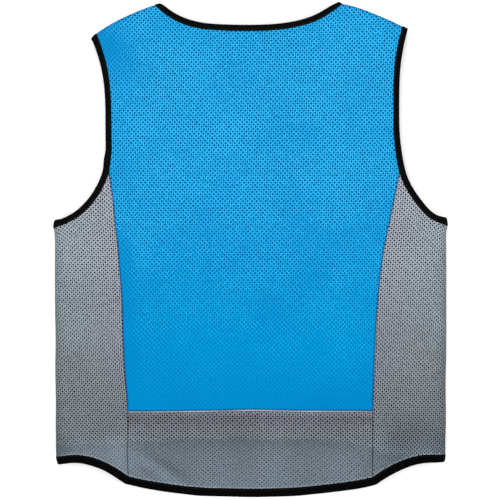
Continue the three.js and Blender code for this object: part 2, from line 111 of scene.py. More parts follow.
# Where a binding's stitches lie, in millimetres from its inner edge and from the cloth's middle
STITCH_INSET = 1.3
STITCH_LIFT = 1.62

# The least that the holes show on the fronts, and a distance far from any edge
FRONT_HOLES = 0.8
FREE = 99.0

# Rows count the places down the vest, as the tables of looks have them
ROW_HEIGHT = 1.31
MIDDLE_ROW = 249.1

LEFT = SimpleNamespace(
    name="left", sign=-1.0, neck_half=125.0, shoulder_half=201.5, shoulder_drop=40.0,
    back_half=183.0, underarm_drop=289.5, neck_curl=3.6, armhole_curl=2.7, armhole_turn=0.61,
    armhole_round=1.6, seam_bow=1.5,
)
RIGHT = SimpleNamespace(
    name="right", sign=1.0, neck_half=119.0, shoulder_half=197.2, shoulder_drop=31.0,
    back_half=186.8, underarm_drop=286.5, neck_curl=2.55, armhole_curl=4.0, armhole_turn=0.5,
    armhole_round=1.8, seam_bow=1.9,
)
SIDES = (LEFT, RIGHT)

# How high the middle of the back lies: share of the length from the tail up, share of the loft
RIDGE = (
    (0.0, 0.1), (0.06, 0.22), (0.16, 0.78), (0.3, 0.96), (0.52, 1.0), (0.74, 0.95), (0.88, 0.74),
    (1.0, 0.56),
)

# Broad soft folds: across, along, turn in degrees, length, width, lift
FOLDS = (
    (-0.3, 0.78, 8, 0.16, 0.2, 0.05),
    (0.34, 0.7, -12, 0.2, 0.18, 0.06),
    (-0.08, 0.5, 4, 0.2, 0.22, -0.05),
    (0.42, 0.4, 14, 0.17, 0.16, 0.05),
    (-0.5, 0.36, -10, 0.15, 0.16, 0.05),
    (0.12, 0.24, 82, 0.22, 0.14, 0.05),
    (-0.34, 0.1, 62, 0.1, 0.12, 0.05),
    (0.7, 0.12, -38, 0.08, 0.1, 0.06),
)

# Small creases in the back's cloth, in millimetres: x, y, turn in degrees, length, width, height
CREASES = (
    (-102, -610, 56, 26, 5, -0.9),
    (-116, -614, 56, 22, 4.5, 0.8),
    (-135, -612, 56, 12, 4, -0.5),
    (-60, -612, 20, 34, 6, 0.5),
    (30, -604, -8, 60, 7, 0.4),
    (112, -596, -16, 40, 6, 0.5),
    (-206, -560, -62, 30, 6, 0.7),
    (212, -566, 56, 30, 6, 0.8),
    (224, -548, 60, 26, 5, -0.6),
    (-214, -300, 40, 26, 5, 0.7),
    (-204, -330, 52, 34, 7, -0.5),
    (216, -300, -44, 28, 5, 0.7),
    (206, -340, -60, 36, 7, -0.5),
    (-150, -80, -62, 46, 8, 0.7),
    (150, -86, 60, 50, 9, 0.7),
    (-40, -70, 4, 60, 10, 0.6),
    (60, -64, -6, 46, 9, 0.5),
)

# How the cloth has settled off its pattern, in millimetres: x, y, shift along x, shift along y
SETTLED = (
    (-208, -42, -0.8, 1.3), (-198, -34, 0.0, 2.0), (-163, -15, 0.0, 0.6), (-120, -2, 0.0, -1.0),
    (-35, -25, 0.0, 1.0), (20, -25, 0.0, 1.0), (93, -7, 0.0, -1.6), (130, 0, 0.0, 1.2),
    (167, -14, 0.0, 1.2), (203, -30, 1.8, 1.6), (199, -62, 1.1, 0.0), (-196, -88, 1.3, 0.0),
    (-192, -136, 0.9, 0.0), (-191, -183, 1.2, 0.0), (-201, -230, 3.0, 0.0),
    (-210, -248, 2.8, -0.6), (-220, -261, 1.0, -1.8), (-237, -274, 0.0, 1.0),
    (199, -204, -0.6, 0.0), (207, -230, -1.2, 0.0), (228, -261, 1.4, 1.0), (248, -276, 0.0, 2.4),
    (-256, -440, 1.0, 0.0), (-256, -520, 1.4, 0.0), (-255, -584, 1.4, -0.8),
    (254, -500, -1.1, 0.0), (254, -584, -1.3, 0.0),
    (-235, -600, 0.0, 0.9), (-200, -606, 0.0, 0.7), (-161, -590, -1.6, 0.0),
    (-145, -632, 0.0, -0.8), (-72, -643, 0.0, -1.1), (0, -645, 0.0, -1.1), (57, -643, 0.0, -0.8),
    (148, -633, 0.0, -1.8), (185, -616, 0.0, -1.6), (236, -600, 0.0, 1.0),
    (-182, -222, 3.8, 0.0), (-180, -261, 3.8, 0.0), (-175, -309, 3.2, 0.0), (-172, -348, 2.0, 0.0),
    (-169, -387, 0.9, 0.0), (-168, -425, -1.4, 0.0), (-166, -470, -2.8, 0.0),
    (-163, -506, -1.8, 0.0), (190, -222, -2.0, 0.0), (185, -261, -1.6, 0.0),
    (177, -301, -2.9, 0.0), (171, -336, -3.5, 0.0), (167, -372, -3.0, 0.0), (163, -419, -1.6, 0.0),
)
SETTLE_REACH = 34.0
SETTLE_EASE = 0.08

# Corners that the cloth has drawn out, in millimetres: x, y, shift along x, shift along y, reach
DRAWN = (
    (-263, -295, 0.0, -7.6, 13.0), (262, -292, 0.0, -7.6, 13.0),
    (-262, -607, 5.0, 0.0, 13.0), (-260, -596, 0.0, -1.8, 16.0),
    (262, -607, -3.0, 0.0, 13.0), (258, -602, 0.0, 1.2, 14.0),
    (-258, -289, -1.5, 0.0, 6.0), (257, -286, 1.7, 0.0, 6.0), (-212, -44, 0.0, -3.8, 8.0),
    (-119, 4, 0.0, -1.7, 5.0), (110, 6, 3.2, -0.4, 8.0), (-193, -203, -2.1, 0.0, 11.0),
    (-222, -257, -0.4, 0.6, 20.0), (219, -258, 0.4, 0.6, 20.0),
)

# How the looks change from the top of the vest (0) to its tail (500): rows, and the value at each
BLUE_HOLES = ((120, 215, 280, 350, 385, 400), (1.0, 0.9, 0.66, 0.33, 0.17, 0.1))
# Painted light and shade on the blue cloth: lighter towards the top, darker towards the tail
BLUE_PAINTED_LIGHT = ((20, 200, 280, 350, 408), (0.84, 0.82, 0.785, 0.845, 0.79))
BLUE_RED = ((60, 200, 230, 280, 340), (0.56, 0.46, 0.4, 0.25, 0.12))
# Painted light and shade on the grey cloth: lighter towards the top, darker towards the tail
GREY_PAINTED_LIGHT = (
    (200, 260, 300, 360, 420, 440, 452, 490),
    (0.875, 0.83, 0.745, 0.605, 0.49, 0.485, 0.565, 0.65),
)

# Soft patches of painted light and shade in the grey mesh, in millimetres: place, length, width,
# change
GREY_PATCHES = (
    ((-170, -590), 28, 20, 0.4), ((-203, -586), 14, 26, 0.2), ((-142, -600), 15, 16, 0.12),
    ((198, -584), 16, 24, -0.12), ((168, -584), 20, 12, 0.1), ((168, -560), 14, 12, 0.1),
)
# Painted shade and light along the tail's creases, in millimetres: place, length, width, change
TAIL_PATCHES = (
    ((-102, -609), 26, 5.5, -0.26), ((-117, -613), 24, 5.5, 0.3), ((-136, -611), 12, 4.0, -0.16),
    ((-128, -592), 14, 5.0, -0.1), ((62, -618), 22, 4.0, -0.07),
)
TAIL_PATCH_TURN = 56

# Lamps: name, place in metres, size, share of the light's power
LAMPS = (
    ("head_light", (-0.5, 1.9, 2.3), 1.6, 1.5),
    ("left_light", (-2.0, -0.3, 1.9), 1.4, 1.0),
    ("right_light", (2.0, -0.1, 1.9), 1.4, 1.0),
    ("foot_light", (0.3, -2.0, 2.0), 1.5, 0.8),
)

# The zip in millimetres: its tape across, its two rows of teeth, and how far down slider and pull
# are. The teeth's width and height are in metres, as the tree of nodes takes them.
TAPE_COLUMNS = (-7.0, -6.7, -6.0, -4.6, -2.6, -1.2, 0.0, 1.2, 2.6, 4.6, 6.0, 6.7, 7.0)
TAPE_THICK = 1.5
TEETH_REACH = 0.75
TEETH_HEIGHT = 1.05
TEETH_SIZE = (0.0022, 0.0011)
SLIDER_DROP = 12.0
PULL_DROP = 13.0

# The stage, in metres: a floor just under the vest, and a camera over its middle
FLOOR_HALF = 5.0
FLOOR_DROP = 0.0003
CLOTH_LEVEL = 0.014
CAMERA_SHIFT = (-0.0008, -0.0012)
SENSOR_WIDTH = 36.0


# Small tools


def mix(a, b, share):
    """The value a share of the way from a to b."""
    return a + (b - a) * share


def smooth(low, high, value):
    """0 up to low, 1 from high, and a soft step in between."""
    share = np.clip((value - low) / (high - low), 0.0, 1.0)
    return share * share * (3.0 - 2.0 * share)


def bell(value, width):
    """1 at zero, falling softly to nothing past the width."""
    return np.exp(-((value / width) ** 2))


def soft_noise(x, y, cell, seed):
    """Smooth noise from -1 to 1 over plan points, with lumps about a cell wide."""
    table = np.random.RandomState(seed).uniform(-1.0, 1.0, (64, 64))
    u, v = np.asarray(x) / cell + 31.3, np.asarray(y) / cell + 57.7
    column, row = np.floor(u).astype(int), np.floor(v).astype(int)
    a, b = smooth(0.0, 1.0, u - column), smooth(0.0, 1.0, v - row)
    pick = lambda i, j: table[(row + j) % 64, (column + i) % 64]
    return mix(mix(pick(0, 0), pick(1, 0), a), mix(pick(0, 1), pick(1, 1), a), b)


def run_of(points):
    """How far along a line each of its points lies."""
    steps = np.linalg.norm(np.diff(points, axis=0), axis=1)
    return np.concatenate(([0.0], np.cumsum(steps)))


def resample(points, shares):
    """The points of a line at shares of its length."""
    run = run_of(points)
    shares = np.asarray(shares) * run[-1]
    return np.stack([np.interp(shares, run, points[:, k]) for k in range(points.shape[1])], 1)


def marks(length, step, head=(0.0,), tail=(0.0,)):
    """Shares along an edge: even steps, and closer lines at the insets from its ends."""
    count = max(1, round((length - head[-1] - tail[-1]) / step))
    even = np.linspace(head[-1], length - tail[-1], count + 1)
    ends = length - np.array(tail[:-1])[::-1]
    return np.concatenate((np.array(head[:-1]), even, ends)) / length


def line_between(start, end, count=60):
    """Even points on a straight line."""
    return np.linspace(start, end, count)


# Edges in plan


def shoulder_line(side):
    """The shoulder seam, from the neck's corner out to the armhole's."""
    share = np.linspace(0.0, 1.0, 80)[:, None]
    return side.corner + side.run * share + side.out * 4 * SHOULDER_BULGE * share * (1 - share)


def prepare_shoulder(side):
    """Keeps where a side's shoulder starts, which way it runs, and which way is out."""
    side.corner = np.array((side.sign * side.neck_half, 0.0))
    side.run = np.array((side.sign * side.shoulder_half, -side.shoulder_drop)) - side.corner
    out = np.array((-side.run[1], side.run[0])) * side.sign
    side.out = out / np.linalg.norm(out)


def inside_shoulder(side, x, y):
    """How far plan points lie inside the shoulder's edge."""
    dx, dy = x - side.corner[0], y - side.corner[1]
    share = (dx * side.run[0] + dy * side.run[1]) / (side.run @ side.run)
    return 4 * SHOULDER_BULGE * share * (1 - share) - (dx * side.out[0] + dy * side.out[1])


def neckline(side, drop, curl, start=0.0):
    """Half of a neck edge, from the vest's middle or from a share of the way out."""
    share = mix(start, 1.0, np.linspace(0.0, 1.0, 240))
    return np.stack((side.sign * side.neck_half * share, -drop * (1 - share**curl)), 1)


def armhole(side, inner_half):
    """An armhole's edge, from the shoulder's corner down to the side fold."""
    share = np.linspace(0.0, 1.0, 500)
    down = 1 - (1 - share) ** 2
    notch = np.maximum(0.0, 1 - down / ARMHOLE_EASE) ** side.armhole_curl
    turn = np.maximum(0.0, down - side.armhole_turn) / (1 - side.armhole_turn)
    flare = 1 - (1 - turn**side.armhole_round) ** (1 / side.armhole_round)
    reach = inner_half + notch * (side.shoulder_half - inner_half)
    reach = reach + flare * (FOLD_START - inner_half)
    depth = side.underarm_drop - side.shoulder_drop
    return np.stack((side.sign * reach, -side.shoulder_drop - depth * down), 1)


def side_seam(side, top, foot_half):
    """The seam between blue and grey, from the armhole down."""
    share = np.linspace(0.0, 1.0, 200)
    x = side.sign * mix(abs(top[0]), foot_half, 1 - (1 - share) ** side.seam_bow)
    return np.stack((x, mix(top[1], -BLUE_DROP, share)), 1)


def tail_hem(x):
    """The lower edge of the back: an arc in the middle, and a sweep up to each side."""
    share = np.minimum(1.0, np.abs(x) / TAIL_HALF)
    sweep = np.clip((np.abs(x) - TAIL_HALF) / HEM_SWEEP, 0.0, 1.0)
    ease = TAIL_DROP - SIDE_HEM_DROP - TAIL_ARC_RISE
    return -TAIL_DROP + TAIL_ARC_RISE * share**TAIL_ARC_CURL + ease * (1 - (1 - sweep) ** 2)


def front_hem(x):
    """The lower edge of the fronts."""
    return -mix(FRONT_HEM_DROP, SIDE_HEM_DROP, np.minimum(1.0, np.abs(x) / FOLD_START) ** 2)


def hem_line(hem, start, end):
    """Points on a lower edge from one x to another."""
    x = np.linspace(start, end, 200)
    return np.stack((x, hem(x)), 1)


def split_armhole(line):
    """The armhole above and below the point where the side seam meets it."""
    cut = int(np.argmax(-line[:, 1] >= SEAM_START_DROP))
    return line[: cut + 1], line[cut:]


ZIP_EDGE = ZIP_WIDTH / 2 + SEAM_GAP

for each in SIDES:
    prepare_shoulder(each)
    each.shoulder = shoulder_line(each)
    each.back = SimpleNamespace(foot_half=TAIL_HALF, hem=tail_hem)
    each.front = SimpleNamespace(foot_half=FRONT_SEAM_REACH, hem=front_hem)
    each.back.neck = neckline(each, BACK_NECK_DROP, each.neck_curl)
    each.front.neck = neckline(each, FRONT_NECK_DROP, FRONT_NECK_CURL, ZIP_EDGE / each.neck_half)
    each.back.armhole = armhole(each, each.back_half)
    each.front.armhole = armhole(each, FRONT_INNER_HALF)
    for face in (each.back, each.front):
        face.upper, face.lower = split_armhole(face.armhole)
        face.seam = side_seam(each, face.upper[-1], face.foot_half)
        foot_x = each.sign * face.foot_half
        face.foot = line_between((foot_x, -BLUE_DROP), (foot_x, float(face.hem(foot_x))))
        face.flank_hem = hem_line(face.hem, foot_x, each.sign * FOLD_START)


# Heights


def ridge_lift(share):
    """The share of the loft that the middle of the back has, from the tail up."""
    along, lift = np.array(RIDGE).T
    row = np.clip(np.searchsorted(along, share), 1, len(along) - 1)
    local = smooth(0.0, 1.0, (share - along[row - 1]) / (along[row] - along[row - 1]))
    return mix(lift[row - 1], lift[row], local)


def lump(x, y, middle, turn, length, width):
    """A soft long lump at a plan point, turned by degrees."""
    angle = np.radians(turn)
    dx, dy = x - middle[0], y - middle[1]
    across = (dx * np.cos(angle) + dy * np.sin(angle)) / width
    along = (dy * np.cos(angle) - dx * np.sin(angle)) / length
    return np.exp(-across * across - along * along)


def back_height(x, y):
    """The height of the back's middle surface over plan points, without its small forms."""
    share = np.clip(1 + y / TAIL_DROP, 0.0, 1.0)
    ridge = np.maximum(TAIL_REST, ridge_lift(share) * BACK_LOFT)
    spread = np.maximum(0.0, 1 - (x / FOLD_START) ** 2)
    folds = 0.0
    for across, along, turn, length, width, lift in FOLDS:
        middle = (across * CHEST_HALF, -(1 - along) * TAIL_DROP)
        size = (length * TAIL_DROP, width * CHEST_HALF)
        folds = folds + lift * BACK_LOFT * lump(x, y, middle, turn, *size)
    calm = np.minimum(1.0, share / TAIL_CALM)
    return mix(BACK_SIDE_HEIGHT, ridge, spread**BACK_SPREAD) + folds * spread * calm


def nearest(x, y, line):
    """How far plan points lie from a line, and how far along it."""
    points = np.stack((np.ravel(x), np.ravel(y)), 1)
    count = max(40, int(run_of(line)[-1] / 1.5))
    path = resample(line, np.linspace(0.0, 1.0, count))
    run = run_of(path)
    starts, steps = path[:-1], np.diff(path, axis=0)
    lengths = np.maximum(1e-9, (steps**2).sum(1))
    gap = np.empty(len(points))
    along = np.empty(len(points))
    for first in range(0, len(points), 4000):
        part = points[first : first + 4000, None]
        share = np.clip(((part - starts) * steps).sum(2) / lengths, 0.0, 1.0)
        reach = np.sqrt(((part - starts - steps * share[..., None]) ** 2).sum(2))
        pick = reach.argmin(1)
        rows = np.arange(len(pick))
        gap[first : first + 4000] = reach[rows, pick]
        along[first : first + 4000] = run[pick] + share[rows, pick] * np.sqrt(lengths[pick])
    return gap.reshape(np.shape(x)), along.reshape(np.shape(x))


BLUE_HEM = line_between((-TAIL_HALF, -BLUE_DROP), (TAIL_HALF, -BLUE_DROP), 200)
BACK_SEAMS = [np.concatenate((side.back.seam, side.back.foot[1:])) for side in SIDES] + [BLUE_HEM]
BACK_EDGES = [
    np.concatenate((LEFT.back.neck[::-1], RIGHT.back.neck[1:])),
    LEFT.back.armhole,
    RIGHT.back.armhole,
    hem_line(tail_hem, -FOLD_START, FOLD_START),
]


def pull(x, y, lines, depth, reach, pucker, pitch, seed):
    """How seams draw the cloth: a shallow valley along each line and short puckers beside it."""
    total = 0.0
    for number, line in enumerate(lines):
        gap, along = nearest(x, y, line)
        wander = soft_noise(along, 0 * along, 26.0, seed + number) * 2.2
        strength = 0.55 + 0.45 * soft_noise(along, 0 * along, 40.0, seed + 20 + number)
        wave = np.sin(2 * np.pi * along / pitch + wander)
        total = total - depth * bell(gap, reach)
        total = total + pucker * strength * wave * np.exp(-gap / (reach * 1.6))
    return total


def back_detail(x, y):
    """The small forms of the back's cloth: soft waves, creases, and what its seams draw up."""
    shape = chosen_sizes()
    wave = soft_noise(x, y, 58.0, 3) * 0.8 + soft_noise(x, y, 24.0, 4) * 0.28
    total = wave * shape.wave_height / MM
    for cx, cy, turn, length, width, height in CREASES:
        total = total + height * shape.crease_depth * lump(x, y, (cx, cy), turn, length, width)
    pucker = shape.pucker_height / MM
    total = total + pull(x, y, BACK_SEAMS, 0.5, 5.0, pucker, 11.0, 40)
    total = total + pull(x, y, BACK_EDGES, 0.0, 4.0, pucker * 0.7, 9.0, 60)
    below = -BLUE_DROP - y
    ridge = bell(below - 2.2, 1.7) * (below > 0) * (np.abs(x) < TAIL_HALF)
    return total + ridge * shape.tail_ridge / MM


def layer_height(layer, x, y, lift=None):
    """The height of a layer that rolls to the shoulder's edge. lift is its height inside."""
    up = 1.0 if layer == "back" else -1.0
    inside = np.where(x < 0, inside_shoulder(LEFT, x, y), inside_shoulder(RIGHT, x, y))
    rest = FOLD_HEIGHT + up * SEAM_GAP / 2
    lean = np.clip(1 - inside / FOLD_RADIUS, 0.0, 1.0)
    height = back_height(x, y) if lift is None else lift
    return rest + (height - rest) * np.sqrt(1 - lean * lean)


def layer_normal(layer, x, y, lift=None):
    """The outward direction of a layer, which turns to the side where it rolls to the shoulder."""
    up = 1.0 if layer == "back" else -1.0
    inside = np.where(x < 0, inside_shoulder(LEFT, x, y), inside_shoulder(RIGHT, x, y))
    out = np.where((x < 0)[..., None], LEFT.out, RIGHT.out)
    lean = np.clip(1 - inside / FOLD_RADIUS, 0.0, 1.0)
    stand = np.sqrt(1 - lean * lean)
    height = back_height if lift is None else (lambda px, py: lift)
    rise = height(x, y) - FOLD_HEIGHT - up * SEAM_GAP / 2
    slope_x = (height(x + 2, y) - height(x - 2, y)) / 4
    slope_y = (height(x, y + 2) - height(x, y - 2)) / 4
    roll = rise * lean / FOLD_RADIUS
    normal = np.stack(
        (out[..., 0] * roll - slope_x * stand**2, out[..., 1] * roll - slope_y * stand**2, stand),
        -1,
    )
    return up * normal / np.linalg.norm(normal, axis=-1, keepdims=True)


# Cloth


def patch(bottom, top, left, right, across, upward):
    """A grid of plan points inside four edges that share their corners."""
    b, t = resample(bottom, across), resample(top, across)
    l, r = resample(left, upward), resample(right, upward)
    u, v = across[None, :, None], upward[:, None, None]
    edges = mix(b[None], t[None], v) + mix(l[:, None], r[:, None], u)
    return edges - mix(mix(b[0], b[-1], u), mix(t[0], t[-1], u), v)


def grid_normals(points):
    """The directions square to a grid of points."""
    a, b = points[:-1, :-1], points[:-1, 1:]
    c, d = points[1:, 1:], points[1:, :-1]
    faces = np.cross(c - a, d - b)
    faces = faces / np.maximum(1e-12, np.linalg.norm(faces, axis=2, keepdims=True))
    total = np.zeros_like(points)
    for rows in (slice(None, -1), slice(1, None)):
        for columns in (slice(None, -1), slice(1, None)):
            total[rows, columns] += faces
    return total / np.maximum(1e-12, np.linalg.norm(total, axis=2, keepdims=True))


def closed_faces(height, width):
    """The quads of a wall on two grids of points, one after the other, and of its rim."""
    index = np.arange(height * width).reshape(height, width)
    quads = np.stack((index[:-1, :-1], index[:-1, 1:], index[1:, 1:], index[1:, :-1]), 2)
    quads = quads.reshape(-1, 4)
    under = quads[:, ::-1] + height * width
    rim = np.concatenate((index[0, :-1], index[:-1, -1], index[-1, :0:-1], index[:0:-1, 0]))
    after = np.roll(rim, -1)
    sides = np.stack((after, rim, rim + height * width, after + height * width), 1)
    return np.concatenate((quads, under, sides))


def signed_volume(points, quads):
    """Positive where a closed wall's faces point outwards."""
    a, b, c, d = (points[quads[:, k]] for k in range(4))
    return (a * np.cross(b, c)).sum() + (a * np.cross(c, d)).sum()


def closeness(a, b):
    """How much each plan point of one list takes part in the settling of each of another."""
    return bell(np.linalg.norm(a[:, None] - b[None], axis=2), SETTLE_REACH)


def settle():
    """The settled points and the weights that lead a smooth shift through all of them."""
    table = np.array(SETTLED)
    places, shifts = table[:, :2], table[:, 2:]
    ties = closeness(places, places) + SETTLE_EASE * np.eye(len(places))
    return places, np.linalg.solve(ties, shifts)


SETTLED_PLACES, SETTLED_WEIGHTS = settle()


def to_frame(points):
    """Metres in the shared frame from millimetres in the plan's."""
    moved = np.array(points, float).reshape(-1, 3)
    for first in range(0, len(moved), 5000):
        part = moved[first : first + 5000, :2]
        shift = closeness(part, SETTLED_PLACES) @ SETTLED_WEIGHTS
        for x, y, along_x, along_y, reach in DRAWN:
            near = bell(np.linalg.norm(part - (x, y), axis=1), reach)
            shift = shift + near[:, None] * np.array((along_x, along_y))
        part += shift
    moved[:, 1] += NECK_Y
    return moved * MM


def new_piece(name, points, quads, material, facts=None, caps=()):
    """A mesh object at the origin. facts holds numbers for its points that its material reads."""
    places = to_frame(points)
    faces = quads.tolist() + [list(ring) for ring in caps]
    if signed_volume(places, quads) < 0:
        faces = [face[::-1] for face in faces]
    mesh = bpy.data.meshes.new(name)
    mesh.from_pydata(places.tolist(), [], faces)
    for key, values in (facts or {}).items():
        values = np.asarray(values, np.float32)
        kind = {1: "FLOAT", 3: "FLOAT_VECTOR", 4: "FLOAT_COLOR"}
        width = 1 if values.ndim == 1 else values.shape[1]
        field = {1: "value", 3: "vector", 4: "color"}[width]
        mesh.attributes.new(key, kind[width], "POINT").data.foreach_set(field, values.ravel())
    mesh.materials.append(material)
    mesh.validate()
    mesh.shade_smooth()
    mesh.update()
    piece = bpy.data.objects.new(name, mesh)
    bpy.context.scene.collection.objects.link(piece)
    return piece


def cloth_wall(name, middle, thick, plan, hole, tint, material, grain=(1.0, 0.0)):
    """A panel of cloth with its thickness on both sides of a grid of points. grain holds how much
    its knit is drawn together across, and how much it leans."""
    normal = grid_normals(middle)
    if normal[..., 2].mean() < 0:
        normal = -normal
    half = (thick / 2)[..., None]
    outer, inner = middle + normal * half, middle - normal * half
    points = np.concatenate((outer.reshape(-1, 3), inner.reshape(-1, 3)))
    faces = closed_faces(*middle.shape[:2])
    across = plan[..., 0] * grain[0] + plan[..., 1] * grain[1]
    flat_plan = np.stack((across, plan[..., 1], 0 * across), 2).reshape(-1, 3)
    # The colour factor of each point: the cloth's tone with painted light and shade in it
    colour = np.concatenate((tint, np.ones(tint.shape[:2] + (1,))), 2).reshape(-1, 4)
    facts = {
        "plan": np.tile(flat_plan, (2, 1)),
        "hole": np.tile(hole.ravel(), 2),
        "tint": np.tile(colour, (2, 1)),
    }
    return new_piece(name, points, faces, material, facts)


# Where the lines of a grid stand closer, in millimetres from its edge: at a seam, at both ends,
# and where cloth rolls over
SEAM_INSETS = (0.0, 0.2, 0.6, 1.1, 1.8, 2.8, 4.4)
BOTH_SEAMS = (SEAM_INSETS, SEAM_INSETS)
ROLL_INSETS = tuple(FOLD_RADIUS * (1 - np.cos(np.radians(a))) for a in range(0, 91, 15))


def wall_thickness(full, seam_gap, bound_gap):
    """Cloth thickness: rounded off where it turns into a seam, pressed flat under a binding."""
    round_size = chosen_sizes().seam_round / MM
    lean = np.clip(1 - seam_gap / round_size, 0.0, 1.0)
    rounded = np.maximum(0.12, np.sqrt(1 - lean * lean))
    pressed = mix(PRESSED_THICK / full, 1.0, smooth(0.0, 4.0, bound_gap))
    return full * np.minimum(rounded, np.minimum(1.0, pressed))


def edge_gap(x, y, lines):
    """How far plan points lie from the nearest of some lines."""
    return np.minimum.reduce([nearest(x, y, line)[0] for line in lines])


def edge_wave(x, y):
    """How far the blue panel's lower seam wanders up from a straight line."""
    wave = 0.9 + 1.5 * bell(x - 4, 44.0) - 0.8 * bell(x + 130, 36.0)
    return wave * smooth(0.0, 12.0, TAIL_HALF - np.abs(x)) * bell(y + BLUE_DROP, 16.0)


def row_of(y):
    """Rows of ROW_HEIGHT from the top of the vest to its tail, 0 to 500."""
    return MIDDLE_ROW - (y + NECK_Y) / ROW_HEIGHT


def blue_look(x, y, seam_gap):
    """How deep the holes look in the blue mesh, and its cloth's colour with painted shade: lighter
    at the top, darker at its seams and shoulders. seam_gap is how far its points lie from the seam
    that sews the panel in."""
    row = row_of(y)
    hole = np.interp(row, *BLUE_HOLES)
    calm = smooth(2.0, 36.0, nearest(x, y, LEFT.back.seam)[0])
    hole = hole * mix(1.0, mix(0.25, 1.0, calm), smooth(215.0, 245.0, row))
    hole = hole * (1 - 0.88 * lump(x, y, (-188, -54), 24, 50, 26))
    hole = hole * (1 - 0.35 * lump(x, y, (-176, -160), 4, 60, 14))
    hole = hole * (1 + 0.28 * soft_noise(x, y, 46.0, 8) + 0.2 * soft_noise(x, y, 17.0, 9))
    # Painted light and shade: lighter towards the top of the vest, darker towards the tail
    light = np.interp(row, *BLUE_PAINTED_LIGHT)
    light = light + 0.035 * soft_noise(x, y, 60.0, 10)
    # Painted shade in the seams' grooves and along the shoulders' rolled edges
    light = light * (1 - 0.7 * bell(seam_gap, 1.2))
    light = light * (1 - 0.8 * bell(edge_gap(x, y, [LEFT.shoulder, RIGHT.shoulder]), 1.8))
    red = np.interp(row, *BLUE_RED)
    # The painted shade darkens the blue channel less than the others
    return np.clip(hole, 0.0, 1.4), np.stack((light * red, light, light**0.6), 2)


def grey_look(x, y, gap_hem, seam_gap):
    """How deep the holes look in the grey mesh, and its cloth's colour with painted light and shade
    in it.
    """
    row = row_of(y)
    limit = -568 - 8 * (x / 230) ** 2 - 12 * smooth(100.0, 200.0, x)
    over = smooth(-5.0, 5.0, y - limit + 4 * soft_noise(x, y, 40.0, 14))
    hole = mix(0.37, 1.45, over) * (1 + 0.25 * soft_noise(x, y, 36.0, 11))
    hole = hole * mix(0.6, 1.0, smooth(2.0, 26.0, FOLD_START + 8 - np.abs(x)))
    # Painted light and shade: lighter towards the top, darker towards the tail, the lower right and
    # the side folds
    light = np.interp(row, *GREY_PAINTED_LIGHT)
    light = light * (1 - 0.2 * smooth(130.0, 200.0, x) * smooth(405.0, 436.0, row))
    light = light * (1 - 0.16 * bell(np.abs(x) - 246, 16.0) * smooth(425.0, 445.0, row))
    for place, length, width, change in GREY_PATCHES:
        light = light * (1 + change * lump(x, y, place, 0, length, width))
    light = light + 0.04 * soft_noise(x, y, 44.0, 12)
    # A painted highlight on the cloth that puffs up beside the hem's binding
    light = light + 0.35 * bell(gap_hem - 1.0, 1.1) * (y < -SIDE_HEM_DROP + 60)
    warm = 0.06 * bell(seam_gap, 26.0) * (np.abs(x) > TAIL_HALF) * smooth(430.0, 330.0, row)
    # Painted shade in the seams' grooves
    light = light * (1 - 0.55 * bell(seam_gap, 0.8))
    tint = np.stack((light * (1 + warm), light * (1 - 0.4 * warm), light * (1 + 0.5 * warm)), 2)
    cool = smooth(25.0, 60.0, -BLUE_DROP - y)
    tint = tint * (1 + 0.06 * cool[..., None] * np.array((0.3, 1.2, 2.2)))
    return np.clip(hole, 0.0, 1.7), tint


def chosen_sizes():
    """The sizes in the panel."""
    return bpy.context.scene.vest_sizes


def chosen_colours():
    """The colours in the panel."""
    return bpy.context.scene.vest_colours


# Materials


def place_node(tree, kind, feeds=(), **settings):
    """A node with its settings. feeds says for each input which socket or value feeds it."""
    node = tree.nodes.new(kind)
    for key, value in settings.items():
        setattr(node, key, value)
    for key, source in dict(feeds).items():
        if isinstance(source, bpy.types.NodeSocket):
            tree.links.new(source, node.inputs[key])
        else:
            node.inputs[key].default_value = source
    return node


class Bench:
    """Places and wires the nodes of one material."""

    def __init__(self, name):
        self.material = bpy.data.materials.new(name)
        self.material.use_nodes = True
        self.tree = self.material.node_tree
        self.tree.nodes.clear()
        self.shader = self.node("ShaderNodeBsdfPrincipled")
        self.node("ShaderNodeOutputMaterial", {"Surface": self.shader.outputs["BSDF"]})

    def node(self, kind, feeds=(), **settings):
        return place_node(self.tree, kind, feeds, **settings)

    def math(self, operation, *values):
        return self.node("ShaderNodeMath", enumerate(values), operation=operation).outputs[0]

    def plus(self, a, b):
        return self.math("ADD", a, b)

    def minus(self, a, b):
        return self.math("SUBTRACT", a, b)

    def times(self, a, b):
        return self.math("MULTIPLY", a, b)

    def ramp(self, value, low, high, start=0.0, end=1.0):
        """A smooth step from start to end as the value goes from low to high."""
        feeds = enumerate((value, low, high, start, end))
        return self.node("ShaderNodeMapRange", feeds, interpolation_type="SMOOTHSTEP").outputs[0]

    def blend(self, share, a, b, kind="MIX"):
        """A colour between a and b. The colour sockets of the node are its inputs 6 and 7."""
        feeds = {0: share, 6: a, 7: b}
        node = self.node("ShaderNodeMix", data_type="RGBA", blend_type=kind, feeds=feeds)
        return node.outputs[2]

    def fact(self, name, output="Fac"):
        """What a piece's points say under a name."""
        return self.node("ShaderNodeAttribute", attribute_name=name).outputs[output]

    def spot(self):
        """The place on the object."""
        return self.node("ShaderNodeTexCoord").outputs["Object"]

    def split(self, vector):
        return self.node("ShaderNodeSeparateXYZ", {0: vector}).outputs

    def noise(self, vector, scale, detail=2.0, rough=0.5, output="Fac"):
        feeds = {"Vector": vector, "Scale": scale, "Detail": detail, "Roughness": rough}
        return self.node("ShaderNodeTexNoise", feeds).outputs[output]

    def finish(self, height, distance, strength, **values):
        """Sets the shader's values and its bump, and hands over the material."""
        feeds = {"Height": height, "Distance": distance, "Strength": strength}
        values["Normal"] = self.node("ShaderNodeBump", feeds).outputs["Normal"]
        for key, value in values.items():
            socket = self.shader.inputs[key.replace("_", " ")]
            if isinstance(value, bpy.types.NodeSocket):
                self.tree.links.new(value, socket)
            else:
                socket.default_value = value
        return self.material


def opaque(colour):
    """A colour as a node takes it."""
    return (*colour, 1.0)


